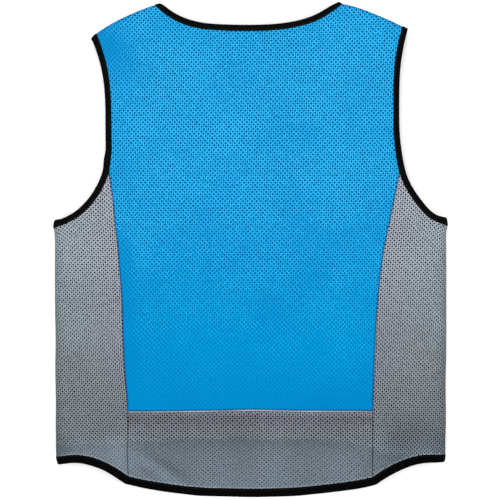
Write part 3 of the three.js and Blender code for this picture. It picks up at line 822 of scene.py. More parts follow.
def lattice(bench, u, v, pitch, tall, shift=0.0):
    """A staggered lattice of holes: the distance to the nearest one, the share of the way to the
    middle line between two of them, and a random number for each."""
    a, b = bench.math("DIVIDE", u, pitch[0]), bench.math("DIVIDE", v, pitch[1])
    p = bench.plus(bench.plus(a, b), shift)
    q = bench.plus(bench.minus(a, b), shift)
    row, column = bench.math("ROUND", p), bench.math("ROUND", q)
    dp, dq = bench.minus(p, row), bench.minus(q, column)
    dx = bench.times(bench.plus(dp, dq), pitch[0] / 2)
    dy = bench.times(bench.minus(dp, dq), pitch[1] / 2 / tall)
    squares = bench.plus(bench.math("POWER", dx, 2.0), bench.math("POWER", dy, 2.0))
    far = bench.math("MAXIMUM", bench.math("ABSOLUTE", dp), bench.math("ABSOLUTE", dq))
    cell = bench.node("ShaderNodeCombineXYZ", {0: row, 1: column}).outputs[0]
    chance = bench.node("ShaderNodeTexWhiteNoise", {"Vector": cell}, noise_dimensions="2D")
    return bench.math("SQRT", squares), bench.times(far, 2.0), chance.outputs["Value"]


def rib(bench, place, pitch, low):
    """Thin dark lines where the holes of a lattice stand, low in between: 0 to 1."""
    wave = bench.math("COSINE", bench.times(place, 4 * np.pi / pitch))
    return bench.ramp(wave, low, 1.0)


def mesh_cloth(name, tones, pitch, hole_size, tall, yarn, ribs, small, spread, flecks):
    """A knitted mesh with staggered holes in a net of brighter yarn, and small holes where the net
    crosses. All lengths in millimetres. tall is how much taller than wide a hole is, yarn how much
    bright yarn shows, ribs how dark the lines across and along are, small how deep the small holes
    look, spread the range of the holes' strengths, and flecks how far light and dark go apart."""
    base, light, dark = tones
    bench = Bench(name)
    plan = bench.fact("plan", "Vector")
    u, v, _ = bench.split(plan)
    wander = bench.noise(plan, 0.07, 2.0)
    shake = bench.split(bench.noise(plan, 0.5, 1.0, output="Color"))
    u = bench.plus(u, bench.times(bench.minus(wander, 0.5), 2.4))
    u = bench.plus(u, bench.times(bench.minus(shake[0], 0.5), 1.2))
    v = bench.plus(v, bench.times(bench.minus(shake[1], 0.5), 1.1))
    gap, far, chance = lattice(bench, u, v, pitch, tall)
    radius = hole_size / 2
    hole = bench.ramp(gap, radius * 0.6, radius * 1.3, 1.0, 0.0)
    between, _, luck = lattice(bench, u, v, pitch, tall, 0.5)
    pin = bench.ramp(between, radius * 0.35, radius * 0.95, small, 0.0)
    pin = bench.times(pin, bench.ramp(luck, 0.0, 1.0, 0.5, 1.4))
    ring = bench.ramp(far, 0.58, 0.9)
    wale = bench.math("SINE", bench.times(u, 2 * np.pi / (pitch[0] / 6)))
    course = bench.math("SINE", bench.times(v, 2 * np.pi / (pitch[1] / 6)))
    knit = bench.times(bench.plus(wale, course), 0.5)
    depth = bench.fact("hole")
    grain = bench.noise(plan, 1.4, 3.0, 0.7)
    patchy = bench.ramp(bench.noise(plan, 0.2, 3.0, 0.6), 0.3, 0.7, 0.55, 1.3)
    shown = bench.times(depth, patchy)
    own = bench.times(shown, bench.ramp(chance, 0.0, 1.0, *spread))
    tint = bench.fact("tint", "Color")
    shaded_base = bench.blend(1.0, opaque(base), tint, "MULTIPLY")
    bright = bench.blend(1.0, opaque(light), tint, "MULTIPLY")
    # The brighter yarn on the net is partly its own colour and partly a painted highlight on the
    # raised ridges
    colour = bench.blend(bench.times(ring, shown), shaded_base, bright)
    speck = bench.times(bench.ramp(grain, 0.5, 0.75), yarn)
    colour = bench.blend(speck, colour, bright)
    fleck = bench.ramp(bench.noise(plan, 0.62, 2.0, 0.6), 0.36, 0.64, -1.0, 1.0)
    lit = bench.math("MAXIMUM", bench.times(fleck, flecks), 0.0)
    colour = bench.blend(lit, colour, bright)
    dull = bench.math("MAXIMUM", bench.times(fleck, -flecks * 0.8), 0.0)
    colour = bench.blend(dull, colour, opaque(dark))
    lines = bench.times(rib(bench, u, pitch[0], -0.4), ribs[0])
    rows = bench.times(rib(bench, v, pitch[1], -0.2), ribs[1])
    lines = bench.times(bench.plus(lines, rows), bench.plus(shown, 0.15))
    threads = bench.times(bench.plus(knit, 1.0), 0.06)
    colour = bench.blend(bench.plus(lines, threads), colour, opaque(dark))
    # The holes are painted with the dark of the vest's shaded inside, seen through them
    hole_share = bench.plus(bench.times(hole, own), bench.times(pin, shown))
    colour = bench.blend(bench.math("MINIMUM", hole_share, 1.0), colour, opaque(dark))
    height = bench.minus(bench.times(ring, 0.3), hole)
    height = bench.times(height, depth)
    height = bench.plus(height, bench.times(knit, 0.12))
    height = bench.plus(height, bench.times(grain, 0.3))
    rough = bench.ramp(grain, 0.3, 0.7, 0.7, 0.9)
    return bench.finish(
        height, 0.0004, 0.5, Base_Color=colour, Roughness=rough, Specular_IOR_Level=0.0
    )


def tape_cloth(name, base, light):
    """A black ribbed tape. Its plan runs along the tape and across it, in millimetres."""
    bench = Bench(name)
    plan = bench.fact("plan", "Vector")
    u, v, _ = bench.split(plan)
    slant = bench.plus(u, bench.times(v, 0.6))
    twill = bench.math("SINE", bench.times(slant, 2 * np.pi / 1.1))
    cross = bench.math("SINE", bench.times(v, 2 * np.pi / 0.7))
    grain = bench.noise(plan, 1.1, 3.0, 0.65)
    lint = bench.ramp(bench.noise(plan, 0.07, 3.0), 0.45, 0.75)
    share = bench.times(bench.plus(twill, 1.0), 0.16)
    share = bench.plus(share, bench.times(lint, 0.35))
    share = bench.plus(share, bench.times(bench.ramp(grain, 0.5, 0.8), 0.3))
    colour = bench.blend(share, opaque(base), opaque(light))
    height = bench.plus(bench.times(twill, 0.5), bench.times(cross, 0.2))
    height = bench.plus(height, grain)
    rough = bench.ramp(grain, 0.3, 0.7, 0.72, 0.92)
    return bench.finish(
        height, 0.00018, 0.5, Base_Color=colour, Roughness=rough, Specular_IOR_Level=0.03
    )


def thread(name, base, light):
    """Sewing thread with a fine twist."""
    bench = Bench(name)
    place = bench.spot()
    fibre = bench.noise(place, 2600.0, 2.0)
    colour = bench.blend(bench.ramp(fibre, 0.35, 0.7), opaque(base), opaque(light))
    rough = bench.ramp(fibre, 0.3, 0.7, 0.55, 0.75)
    return bench.finish(
        fibre, 0.0001, 0.4, Base_Color=colour, Roughness=rough, Specular_IOR_Level=0.25
    )


def moulded_plastic(name, base, light):
    """Matt moulded plastic, a little scuffed."""
    bench = Bench(name)
    place = bench.spot()
    grain = bench.noise(place, 1500.0, 3.0)
    scuff = bench.ramp(bench.noise(place, 240.0, 4.0), 0.52, 0.72)
    colour = bench.blend(bench.times(scuff, 0.6), opaque(base), opaque(light))
    rough = bench.ramp(scuff, 0.0, 1.0, 0.42, 0.62)
    return bench.finish(
        grain, 0.00006, 0.3, Base_Color=colour, Roughness=rough, Specular_IOR_Level=0.4
    )


def painted_floor(name, base, light):
    """A pale floor with hardly any grain."""
    bench = Bench(name)
    place = bench.spot()
    cloud = bench.noise(place, 1.3, 3.0)
    colour = bench.blend(cloud, opaque(base), opaque(light))
    rough = bench.ramp(cloud, 0.3, 0.7, 0.85, 0.95)
    return bench.finish(
        bench.noise(place, 90.0, 2.0), 0.0002, 0.05,
        Base_Color=colour, Roughness=rough, Specular_IOR_Level=0.1,
    )


def darkened(colour, share):
    """A colour made darker."""
    return tuple(share * value for value in colour)


def finish_named(name):
    """A finish of the vest, made once."""
    found = bpy.data.materials.get(name)
    if found:
        return found
    tone = chosen_colours()
    size = chosen_sizes()
    black = (tuple(tone.binding), tuple(tone.binding_light))
    makers = {
        "blue_mesh_cloth": lambda: mesh_cloth(
            name, (tone.blue, tone.blue_light, tone.blue_hole),
            (size.blue_pitch_across / MM, size.blue_pitch_along / MM), size.blue_hole / MM,
            tall=1.25, yarn=0.1, ribs=(0.22, 0.1), small=0.55, spread=(0.5, 1.25), flecks=0.07,
        ),
        "grey_mesh_cloth": lambda: mesh_cloth(
            name, (tone.grey, tone.grey_light, tone.grey_hole),
            (size.grey_pitch_across / MM, size.grey_pitch_along / MM), size.grey_hole / MM,
            tall=1.1, yarn=0.14, ribs=(0.18, 0.1), small=0.5, spread=(0.4, 1.9), flecks=0.14,
        ),
        "black_binding_tape": lambda: tape_cloth(name, *black),
        "black_hem_tape": lambda: tape_cloth(name, darkened(black[0], 0.3), darkened(black[1], 0.2)),
        "black_zip_tape": lambda: tape_cloth(name, *black),
        "black_thread": lambda: thread(name, *black),
        "grey_thread": lambda: thread(name, tuple(tone.grey_light), (0.6, 0.6, 0.6)),
        "black_zip_plastic": lambda: moulded_plastic(name, *black),
        "pale_floor": lambda: painted_floor(name, tuple(tone.floor), tuple(tone.floor)),
    }
    return makers[name]()


# Stitches and zip teeth, by Geometry Nodes


def repeat_tree():
    """Small rounded bodies at even steps along a line, each lying on the surface under it."""
    name = "Repeat along a line"
    if name in bpy.data.node_groups:
        return bpy.data.node_groups[name]
    tree = bpy.data.node_groups.new(name, "GeometryNodeTree")
    add = tree.interface.new_socket
    add("Geometry", in_out="INPUT", socket_type="NodeSocketGeometry")
    for label in ("Spacing", "Length", "Width", "Height"):
        add(label, in_out="INPUT", socket_type="NodeSocketFloat")
    add("Seed", in_out="INPUT", socket_type="NodeSocketInt")
    add("Finish", in_out="INPUT", socket_type="NodeSocketMaterial")
    add("Geometry", in_out="OUTPUT", socket_type="NodeSocketGeometry")
    node = lambda *parts, **settings: place_node(tree, *parts, **settings).outputs
    given = node("NodeGroupInput")
    curve = node("GeometryNodeMeshToCurve", {"Mesh": given["Geometry"]})
    steps = node(
        "GeometryNodeResampleCurve", {"Curve": curve["Curve"], "Length": given["Spacing"]},
        mode="LENGTH",
    )
    body = node("GeometryNodeMeshUVSphere", {"Segments": 6, "Rings": 4, "Radius": 0.5})
    size = node(
        "ShaderNodeCombineXYZ", {0: given["Length"], 1: given["Width"], 2: given["Height"]}
    )
    shaped = node("GeometryNodeTransform", {"Geometry": body["Mesh"], "Scale": size[0]})
    tangent = node("GeometryNodeInputTangent")
    along = node("FunctionNodeAlignRotationToVector", {"Vector": tangent[0]}, axis="X")
    upward = node("GeometryNodeInputNamedAttribute", {"Name": "upward"}, data_type="FLOAT_VECTOR")
    flat = node(
        "FunctionNodeAlignRotationToVector",
        {"Rotation": along["Rotation"], "Vector": upward["Attribute"]},
        axis="Z", pivot_axis="X",
    )
    chance = node(
        "FunctionNodeRandomValue",
        {0: (0.88, 0.9, 0.85), 1: (1.08, 1.1, 1.15), "Seed": given["Seed"]},
        data_type="FLOAT_VECTOR",
    )
    spread = node("GeometryNodeInstanceOnPoints", {
        "Points": steps["Curve"], "Instance": shaped["Geometry"],
        "Rotation": flat["Rotation"], "Scale": chance[0],
    })
    real = node("GeometryNodeRealizeInstances", {"Geometry": spread["Instances"]})
    finish = node(
        "GeometryNodeSetMaterial", {"Geometry": real["Geometry"], "Material": given["Finish"]}
    )
    node("NodeGroupOutput", {"Geometry": finish["Geometry"]})
    return tree


def repeat_along(name, lines, finish, spacing, size, seed):
    """Stitches or teeth along lines of (points, upward directions), as one plain mesh."""
    points, edges, upward = [], [], []
    for places, ups in lines:
        first = len(points)
        points += to_frame(places).tolist()
        upward += np.asarray(ups).tolist()
        edges += [(first + i, first + i + 1) for i in range(len(places) - 1)]
    mesh = bpy.data.meshes.new(name)
    mesh.from_pydata(points, edges, [])
    data = mesh.attributes.new("upward", "FLOAT_VECTOR", "POINT").data
    data.foreach_set("vector", np.array(upward, np.float32).ravel())
    piece = bpy.data.objects.new(name, mesh)
    bpy.context.scene.collection.objects.link(piece)
    tree = repeat_tree()
    modifier = piece.modifiers.new("Repeat", "NODES")
    modifier.node_group = tree
    values = {
        "Spacing": spacing, "Length": size[0], "Width": size[1], "Height": size[2],
        "Seed": seed, "Finish": finish,
    }
    for item in tree.interface.items_tree:
        if item.item_type == "SOCKET" and item.in_out == "INPUT" and item.name in values:
            modifier[item.identifier] = values[item.name]
    graph = bpy.context.evaluated_depsgraph_get()
    made = bpy.data.meshes.new_from_object(piece.evaluated_get(graph))
    piece.modifiers.clear()
    piece.data = made
    made.name = name
    if not made.materials or not len(made.polygons):
        raise RuntimeError(f"{name}: nothing was made along its lines")
    made.shade_smooth()
    return piece


def sew(name, rows, finish, seed):
    """Rows of stitches, with the sizes in the panel."""
    sizes = chosen_sizes()
    size = (sizes.stitch_length, sizes.thread_width, sizes.thread_width * 0.7)
    return repeat_along(name, rows, finish_named(finish), sizes.stitch_spacing, size, seed)


def declare(piece, *nodes, slot):
    """Hangs a piece under the root and hides the solids it stands for. slot is not used."""
    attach(piece, "root")
    if nodes:
        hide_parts(*nodes)
    return piece


# Panels


def back_grid():
    """The blue back's plan, from its lower seam up to the shoulders and neck."""
    step = chosen_sizes().grid_step / MM
    left, right = (
        np.concatenate((side.back.seam[::-1], side.back.upper[::-1][1:])) for side in SIDES
    )
    top = np.concatenate((
        LEFT.shoulder[::-1], LEFT.back.neck[::-1][1:], RIGHT.back.neck[1:], RIGHT.shoulder[1:],
    ))
    bottom = line_between(left[0], right[0], 200)
    upward = marks(run_of(left)[-1], step, SEAM_INSETS, ROLL_INSETS)
    across = marks(run_of(top)[-1], step, *BOTH_SEAMS)
    return patch(bottom, top, left, right, across, upward)


def laid_on_back(plan):
    """The middle surface of the back layer over plan points."""
    x, y = plan[..., 0], plan[..., 1]
    height = layer_height("back", x, y, back_height(x, y) + back_detail(x, y))
    return np.stack((x, y + edge_wave(x, y), height), -1)


def make_back_panel():
    """The blue mesh from the tail's seam up to the neck."""
    plan = back_grid()
    x, y = plan[..., 0], plan[..., 1]
    seams = BACK_SEAMS + [LEFT.shoulder, RIGHT.shoulder]
    thick = wall_thickness(BLUE_THICK, edge_gap(x, y, seams), edge_gap(x, y, BACK_EDGES[:3]))
    hole, tint = blue_look(x, y, edge_gap(x, y, BACK_SEAMS))
    finish = finish_named("blue_mesh_cloth")
    middle = laid_on_back(plan)
    return cloth_wall("back_panel_cloth", middle, thick, plan, hole, tint, finish, (1.0, -0.05))


def make_tail_panel():
    """The grey mesh under it, with a painted highlight on the fold under the seam and painted shade
    below it.
    """
    step = chosen_sizes().grid_step / MM
    left, right = (side.back.foot[::-1] for side in SIDES)
    bottom = hem_line(tail_hem, -TAIL_HALF, TAIL_HALF)
    upward = marks(run_of(left)[-1], step, *BOTH_SEAMS)
    across = marks(2 * TAIL_HALF, step, *BOTH_SEAMS)
    plan = patch(bottom, BLUE_HEM, left, right, across, upward)
    x, y = plan[..., 0], plan[..., 1]
    gap_hem = edge_gap(x, y, BACK_EDGES[3:])
    seam_gap = edge_gap(x, y, BACK_SEAMS)
    thick = wall_thickness(GREY_THICK, seam_gap, gap_hem)
    hole, tint = grey_look(x, y, gap_hem, seam_gap)
    below = -BLUE_DROP - y
    hole = hole * smooth(1.8, 5.0, below)
    # Painted shade in a band under the blue panel's seam
    shade = 1 - 0.26 * bell(below - 9, 10.0) * (0.8 + 0.2 * soft_noise(x, 0 * y, 60.0, 17))
    broken = 0.6 + 0.4 * soft_noise(x, 0 * y, 30.0, 18) + 0.25 * soft_noise(x, 0 * y, 9.0, 19)
    # A painted highlight along the fold under the seam, broken along its length
    lit = 1 + 4.2 * bell(below - 0.95, 0.7) * broken
    lit = lit + 0.4 * bell(below - 3.2, 2.2) * mix(0.4, 1.0, smooth(-110.0, -70.0, x))
    # Painted shade and light along the tail's creases
    for place, length, width, change in TAIL_PATCHES:
        shade = shade + change * lump(x, y, place, TAIL_PATCH_TURN, length, width)
    cast = 0.045 * bell(below - 14, 14.0)
    tint = tint * (shade * lit)[..., None]
    tint = tint * np.stack((1 + cast, 1 - cast, 1 + 0.3 * cast), -1)
    finish = finish_named("grey_mesh_cloth")
    return cloth_wall("tail_panel_cloth", laid_on_back(plan), thick, plan, hole, tint, finish)


def front_rise(x, y, thick, lines):
    """How high the front's middle surface lies: on the floor inside, raised at its bound edges."""
    gap = edge_gap(x, y, lines)
    wave = 0.5 + 0.5 * soft_noise(x, y, 48.0, 22)
    inside = thick / 2 + 0.15 + 0.5 * wave * smooth(8.0, 40.0, gap)
    return mix(FRONT_EDGE_HEIGHT, inside, smooth(1.0, 16.0, gap))


def make_side_panel(side):
    """Grey cloth from the back's seam, round the side fold, to the front's seam."""
    step = chosen_sizes().grid_step / MM
    grids = []
    for face in (side.back, side.front):
        inner = np.concatenate((face.foot[::-1], face.seam[::-1][1:]))
        fold_x = side.sign * FOLD_START
        fold = line_between((fold_x, -SIDE_HEM_DROP), (fold_x, -side.underarm_drop), 200)
        upward = marks(run_of(side.back.seam)[-1] + 70, step, *BOTH_SEAMS)
        across = marks(run_of(face.flank_hem)[-1], step, SEAM_INSETS)
        grids.append(patch(face.flank_hem, face.lower, inner, fold, across, upward))
    back, front = grids
    front_edges = [side.front.flank_hem, side.front.lower]
    front_edges.append(line_between(front[0, -1], front[-1, -1], 200))
    x, y = front[..., 0], front[..., 1]
    rise = front_rise(x, y, GREY_THICK, front_edges)
    front_points = np.dstack((x, y, layer_height("front", x, y, rise)))
    angles = np.radians(np.arange(15, 180, 15))
    fold_y = back[:, -1, 1]
    turned = np.stack([
        np.stack((
            side.sign * (FOLD_START + FOLD_RADIUS * np.sin(a)) + 0 * fold_y,
            fold_y,
            FOLD_HEIGHT + FOLD_RADIUS * np.cos(a) + 0 * fold_y,
        ), 1) for a in angles
    ], 1)
    middle = np.concatenate((laid_on_back(back), turned, front_points[:, ::-1]), 1)
    arc = FOLD_RADIUS * angles
    across_plan = np.concatenate((
        side.sign * back[..., 0],
        np.tile(FOLD_START + arc, (len(fold_y), 1)),
        2 * FOLD_START + FOLD_RADIUS * np.pi - side.sign * front[:, ::-1, 0],
    ), 1)
    fold_plan_y = np.tile(fold_y[:, None], (1, len(arc)))
    plan_y = np.concatenate((back[..., 1], fold_plan_y, front[:, ::-1, 1]), 1)
    plan = np.stack((side.sign * across_plan, plan_y), -1)
    flat_x = middle[..., 0]
    count = back.shape[1] + len(arc)
    seam_gap = np.concatenate((
        edge_gap(back[..., 0], back[..., 1], BACK_SEAMS[:2]),
        np.full((len(fold_y), len(arc)), FREE),
        edge_gap(x, y, [side.front.seam, side.front.foot])[:, ::-1],
    ), 1)
    gap_hem = edge_gap(flat_x, plan_y, [BACK_EDGES[3]])
    gap_hem[:, count:] = FREE
    bound = np.minimum(edge_gap(flat_x, plan_y, [BACK_EDGES[3], side.back.armhole]), FREE)
    bound[:, count:] = edge_gap(x, y, front_edges[:2])[:, ::-1]
    walls = wall_thickness(GREY_THICK, seam_gap, bound)
    hole, tint = grey_look(flat_x, plan_y, gap_hem, seam_gap)
    # Painted shade where the cloth turns down over the side fold
    rim = bell(side.sign * flat_x - 254, 5.0) * (middle[..., 2] > FOLD_HEIGHT)
    tint = tint * (1 - 0.12 * rim)[..., None]
    return cloth_wall(
        f"{side.name}_side_panel_cloth", middle, walls, plan, hole, tint,
        finish_named("grey_mesh_cloth"), (1.1, -0.075 * side.sign),
    )


def make_front_panel(side):
    """A blue front half, which lies on the floor."""
    step = chosen_sizes().front_grid_step / MM
    front = side.front
    outer = np.concatenate((front.foot[::-1], front.seam[::-1][1:], front.upper[::-1][1:]))
    top = np.concatenate((front.neck, side.shoulder[1:]))
    edge_x = side.sign * ZIP_EDGE
    middle_line = line_between((edge_x, float(front_hem(edge_x))), top[0], 200)
    bottom = hem_line(front_hem, edge_x, outer[0][0])
    upward = marks(run_of(outer)[-1], step, SEAM_INSETS, ROLL_INSETS)
    across = marks(run_of(top)[-1], step, *BOTH_SEAMS)
    plan = patch(bottom, top, middle_line, outer, across, upward)
    x, y = plan[..., 0], plan[..., 1]
    bound_lines = [bottom, front.neck, front.upper, middle_line]
    seam_gap = edge_gap(x, y, [front.seam, front.foot])
    shoulder_gap = edge_gap(x, y, [side.shoulder])
    inner_gap = np.minimum(seam_gap, shoulder_gap)
    thick = wall_thickness(BLUE_THICK, inner_gap, edge_gap(x, y, bound_lines))
    rise = front_rise(x, y, BLUE_THICK, bound_lines)
    middle = np.dstack((x, y, layer_height("front", x, y, rise)))
    hole, tint = blue_look(x, y, seam_gap)
    return cloth_wall(
        f"{side.name}_front_panel_cloth", middle, thick, plan, np.maximum(hole, FRONT_HOLES), tint,
        finish_named("blue_mesh_cloth"),
    )


# Bindings


def on_fold(side, y, angles):
    """Points and directions round a side's fold, at angles from the top."""
    normal = np.stack((side.sign * np.sin(angles), 0 * angles, np.cos(angles)), 1)
    centre = np.array((side.sign * FOLD_START, y, FOLD_HEIGHT))
    return centre + FOLD_RADIUS * normal, normal


def on_layer(layer, line):
    """A plan line laid on the back or front layer, with its outward directions."""
    x, y = line[:, 0], line[:, 1]
    lift = None if layer == "back" else FRONT_EDGE_HEIGHT
    height = layer_height(layer, x, y, lift)
    return np.stack((x, y, height), 1), layer_normal(layer, x, y, lift)


def joined(*parts):
    """One path from parts of (points, normals)."""
    return tuple(np.concatenate([part[k] for part in parts]) for k in (0, 1))


def backwards(part):
    """A part of a path, the other way round."""
    return part[0][::-1], part[1][::-1]


def cut(part, start=0, end=0):
    """A part of a path without some of its first and last points."""
    last = len(part[0]) - end
    return part[0][start:last], part[1][start:last]


def tape_section(width):
    """A tape folded over the cloth's edge, seen end on, with a groove that holds the edge. Each
    point is how far out it lies, and how high."""
    upper = [
        (-0.4, 0.82), (-0.3, 1.12), (0.15, 1.42), (0.12 * width, 1.62), (0.3 * width, 1.68),
        (0.55 * width, 1.7), (0.78 * width, 1.62), (0.9 * width, 1.36), (0.97 * width, 0.86),
        (width, 0.28),
    ]
    lower = [(reach, -lift) for reach, lift in reversed(upper)]
    groove = [(0.5, -0.78), (0.5, 0.78)]
    return np.array(upper + lower + groove)


def sweep_tape(name, path, width, turn, closed, seed, finish="black_binding_tape"):
    """A folded tape along a path of (points, normals), with its cloth to one side."""
    points, normals = path
    if closed:
        run = np.roll(points, -1, 0) - np.roll(points, 1, 0)
    else:
        run = np.gradient(points, axis=0)
        run[0, 1] = run[-1, 1] = 0.0
    out = np.cross(run, normals)
    out = turn * out / np.linalg.norm(out, axis=1, keepdims=True)
    section = tape_section(width)
    along = run_of(points)
    wobble = 1 + TAPE_WOBBLE * soft_noise(along, 0 * along, 21.0, seed)
    swell = 1 + TAPE_SWELL * soft_noise(along, 0 * along, 9.0, seed + 1)
    if closed:
        fade = smooth(0.0, 40.0, np.minimum(along, along[-1] - along))
        wobble, swell = mix(1.0, wobble, fade), mix(1.0, swell, fade)
    reach = section[None, :, 0:1] * wobble[:, None, None]
    lift = section[None, :, 1:2] * swell[:, None, None]
    rings = points[:, None] + out[:, None] * reach + normals[:, None] * lift
    girth = run_of(np.concatenate((section, section[:1])))[:-1]
    count, corners = len(points), len(section)
    index = np.arange(count * corners).reshape(count, corners)
    after = np.roll(index, -1, 0) if closed else index[1:]
    before = index if closed else index[:-1]
    corner_rings = (before, np.roll(before, -1, 1), np.roll(after, -1, 1), after)
    quads = np.stack(corner_rings, 2).reshape(-1, 4)
    caps = () if closed else (index[0][::-1].tolist(), index[-1].tolist())
    plan = np.zeros((count, corners, 3))
    plan[..., 0] = along[:, None]
    plan[..., 1] = girth[None]
    piece = new_piece(
        name, rings.reshape(-1, 3), quads, finish_named(finish),
        {"plan": plan.reshape(-1, 3)}, caps,
    )
    stitch_up = points + out * STITCH_INSET + normals * STITCH_LIFT
    stitch_down = points + out * STITCH_INSET - normals * STITCH_LIFT
    if closed:
        stitch_up = np.concatenate((stitch_up, stitch_up[:1]))
        stitch_down = np.concatenate((stitch_down, stitch_down[:1]))
        normals = np.concatenate((normals, normals[:1]))
    return piece, [(stitch_up, normals), (stitch_down, -normals)]


def in_steps(line, step, head=(0.0,), tail=(0.0,)):
    """A line's points at even steps, and closer at the insets from its ends."""
    return resample(line, marks(run_of(line)[-1], step, head, tail))


FOLD_TURN = np.radians(np.arange(0, 181, 15.0))


def armhole_path(side):
    """Round an armhole: down the back, round the side fold, up the front."""
    step = chosen_sizes().binding_step / MM
    back = on_layer("back", in_steps(side.back.armhole, step, ROLL_INSETS))
    front = on_layer("front", in_steps(side.front.armhole, step, ROLL_INSETS))
    fold = on_fold(side, -side.underarm_drop, FOLD_TURN)
    return joined(cut(back, 0, 1), fold, backwards(cut(front, 1, 1)))


def neck_path():
    """Round the neck, from one front edge to the other."""
    step = chosen_sizes().binding_step / MM
    parts = []
    for side in SIDES:
        back = on_layer("back", in_steps(side.back.neck, step, tail=ROLL_INSETS))
        front = on_layer("front", in_steps(side.front.neck, step, tail=ROLL_INSETS))
        parts.append((cut(front, 0, 1), back))
    (left_front, left_back), (right_front, right_back) = parts
    return joined(left_front, backwards(left_back), cut(right_back, 1), backwards(right_front))


def hem_path():
    """Round the hem, from one front edge to the other."""
    step = chosen_sizes().binding_step / MM
    runs = []
    for side in SIDES:
        foot = side.sign * FRONT_SEAM_REACH
        middle = on_layer("front", in_steps(hem_line(front_hem, side.sign * ZIP_EDGE, foot), step))
        flank = on_layer("front", in_steps(side.front.flank_hem, step))
        fold = on_fold(side, -SIDE_HEM_DROP, FOLD_TURN[::-1])
        back = on_layer("back", in_steps(side.back.flank_hem, step))
        runs.append(joined(cut(middle, 0, 1), cut(flank, 0, 1), fold, backwards(cut(back, 1, 1))))
    tail = on_layer("back", in_steps(hem_line(tail_hem, -TAIL_HALF, TAIL_HALF), step))
    left, right = runs
    return joined(left, tail, backwards(right))


# Zip


def rounded_plate(name, outline, finish, low, high, edge):
    """A plate from one height to another, from an outline seen from above. edge is how far in its
    rims are rounded off."""
    outline = np.asarray(outline, float)
    middle = outline.mean(0)
    rings = []
    for share, height in ((1, 0), (0.3, 0), (0, 0.3), (0, 0.7), (0.3, 1), (1, 1)):
        spokes = outline - middle
        reach = np.linalg.norm(spokes, axis=1, keepdims=True)
        inner = middle + spokes * (1 - edge * share / reach)
        level = mix(low, high, height)
        rings.append(np.column_stack((inner, np.full(len(inner), level))))
    count = len(outline)
    index = np.arange(len(rings) * count).reshape(len(rings), count)
    quads = np.stack(
        (index[:-1], np.roll(index[:-1], -1, 1), np.roll(index[1:], -1, 1), index[1:]), 2
    ).reshape(-1, 4)
    caps = (index[0][::-1].tolist(), index[-1].tolist())
    return new_piece(name, np.concatenate(rings), quads, finish, caps=caps)


def oval(width, length, middle_y, waist, power=3.2):
    """A rounded oblong outline, with its sides drawn in by waist."""
    count = 32
    angle = np.linspace(0, 2 * np.pi, count, endpoint=False) + np.pi / count
    c, s = np.cos(angle), np.sin(angle)
    x = np.sign(c) * np.abs(c) ** (2 / power) * width / 2
    y = np.sign(s) * np.abs(s) ** (2 / power) * length / 2
    x = x * (1 - waist * bell(y, length / 5))
    return np.stack((x, y + middle_y), 1)


def make_zip():
    """The zip's tape, teeth, slider and pull, each a piece of its own."""
    top = -FRONT_NECK_DROP + NECK_BINDING
    foot = -FRONT_HEM_DROP - HEM_BINDING
    rows = np.linspace(foot, top, 180)
    x, y = np.meshgrid(np.array(TAPE_COLUMNS), rows)
    lift = FRONT_EDGE_HEIGHT + 0.06 * soft_noise(x, y, 14.0, 71) + 0.2 * bell(np.abs(x) - 6.0, 1.2)
    middle = np.dstack((x, y, lift))
    thick = TAPE_THICK * np.sqrt(np.clip(1 - (np.abs(x) / 7.1) ** 14, 0.04, 1))
    ones = np.ones(x.shape)
    tape = cloth_wall(
        "front_zip_tape", middle, thick, np.dstack((y, x)), ones, np.dstack((ones, ones, ones)),
        finish_named("black_zip_tape"),
    )
    declare(tape, "front_zip", slot="black_zip")
    plastic = finish_named("black_zip_plastic")
    lines = []
    for offset in (-TEETH_REACH, TEETH_REACH):
        ends = [(offset, end_y, TEETH_HEIGHT) for end_y in (foot + HEM_BINDING, top - HEM_BINDING)]
        lines.append((line_between(*ends, 80), np.tile((0.0, 0.0, -1.0), (80, 1))))
    pitch = chosen_sizes().tooth_pitch
    teeth = repeat_along(
        "front_zip_teeth", lines, plastic, pitch, (pitch * 0.72, *TEETH_SIZE), 5
    )
    declare(teeth, slot="black_zip")
    slider_y = top - NECK_BINDING - SLIDER_DROP
    body = rounded_plate(
        "front_zip_slider", oval(8.6, 11.6, slider_y, 0.16), plastic,
        low=0.15, high=1.95, edge=0.7,
    )
    declare(body, slot="black_zip")
    pull_tab = rounded_plate(
        "front_zip_pull", oval(5.6, 25.0, slider_y - PULL_DROP, 0.12, 4.0), plastic,
        low=0.3, high=1.25, edge=0.4,
    )
    declare(pull_tab, slot="black_zip")


# The row of stitches on the tail


def stitch_row(line, offset, lift):
    """A row on the back layer beside a seam, offset to one side of it and lifted off the cloth."""
    line = in_steps(line, 3.0)[2:-2]
    run = np.gradient(line, axis=0)
    run = run / np.linalg.norm(run, axis=1, keepdims=True)
    moved = line + offset * np.stack((-run[:, 1], run[:, 0]), 1)
    normals = layer_normal("back", moved[:, 0], moved[:, 1])
    return laid_on_back(moved) + normals * lift, normals


# Properties


def length_property(name, description, default, low=0.0):
    """A length in the panel, in metres."""
    return bpy.props.FloatProperty(
        name=name, description=description, default=default, min=low, unit="LENGTH",
        subtype="DISTANCE", precision=5,
    )


def colour_property(name, description, default):
    """A colour in the panel."""
    return bpy.props.FloatVectorProperty(
        name=name, description=description, default=default, size=3, min=0.0, max=1.0,
        subtype="COLOR",
    )


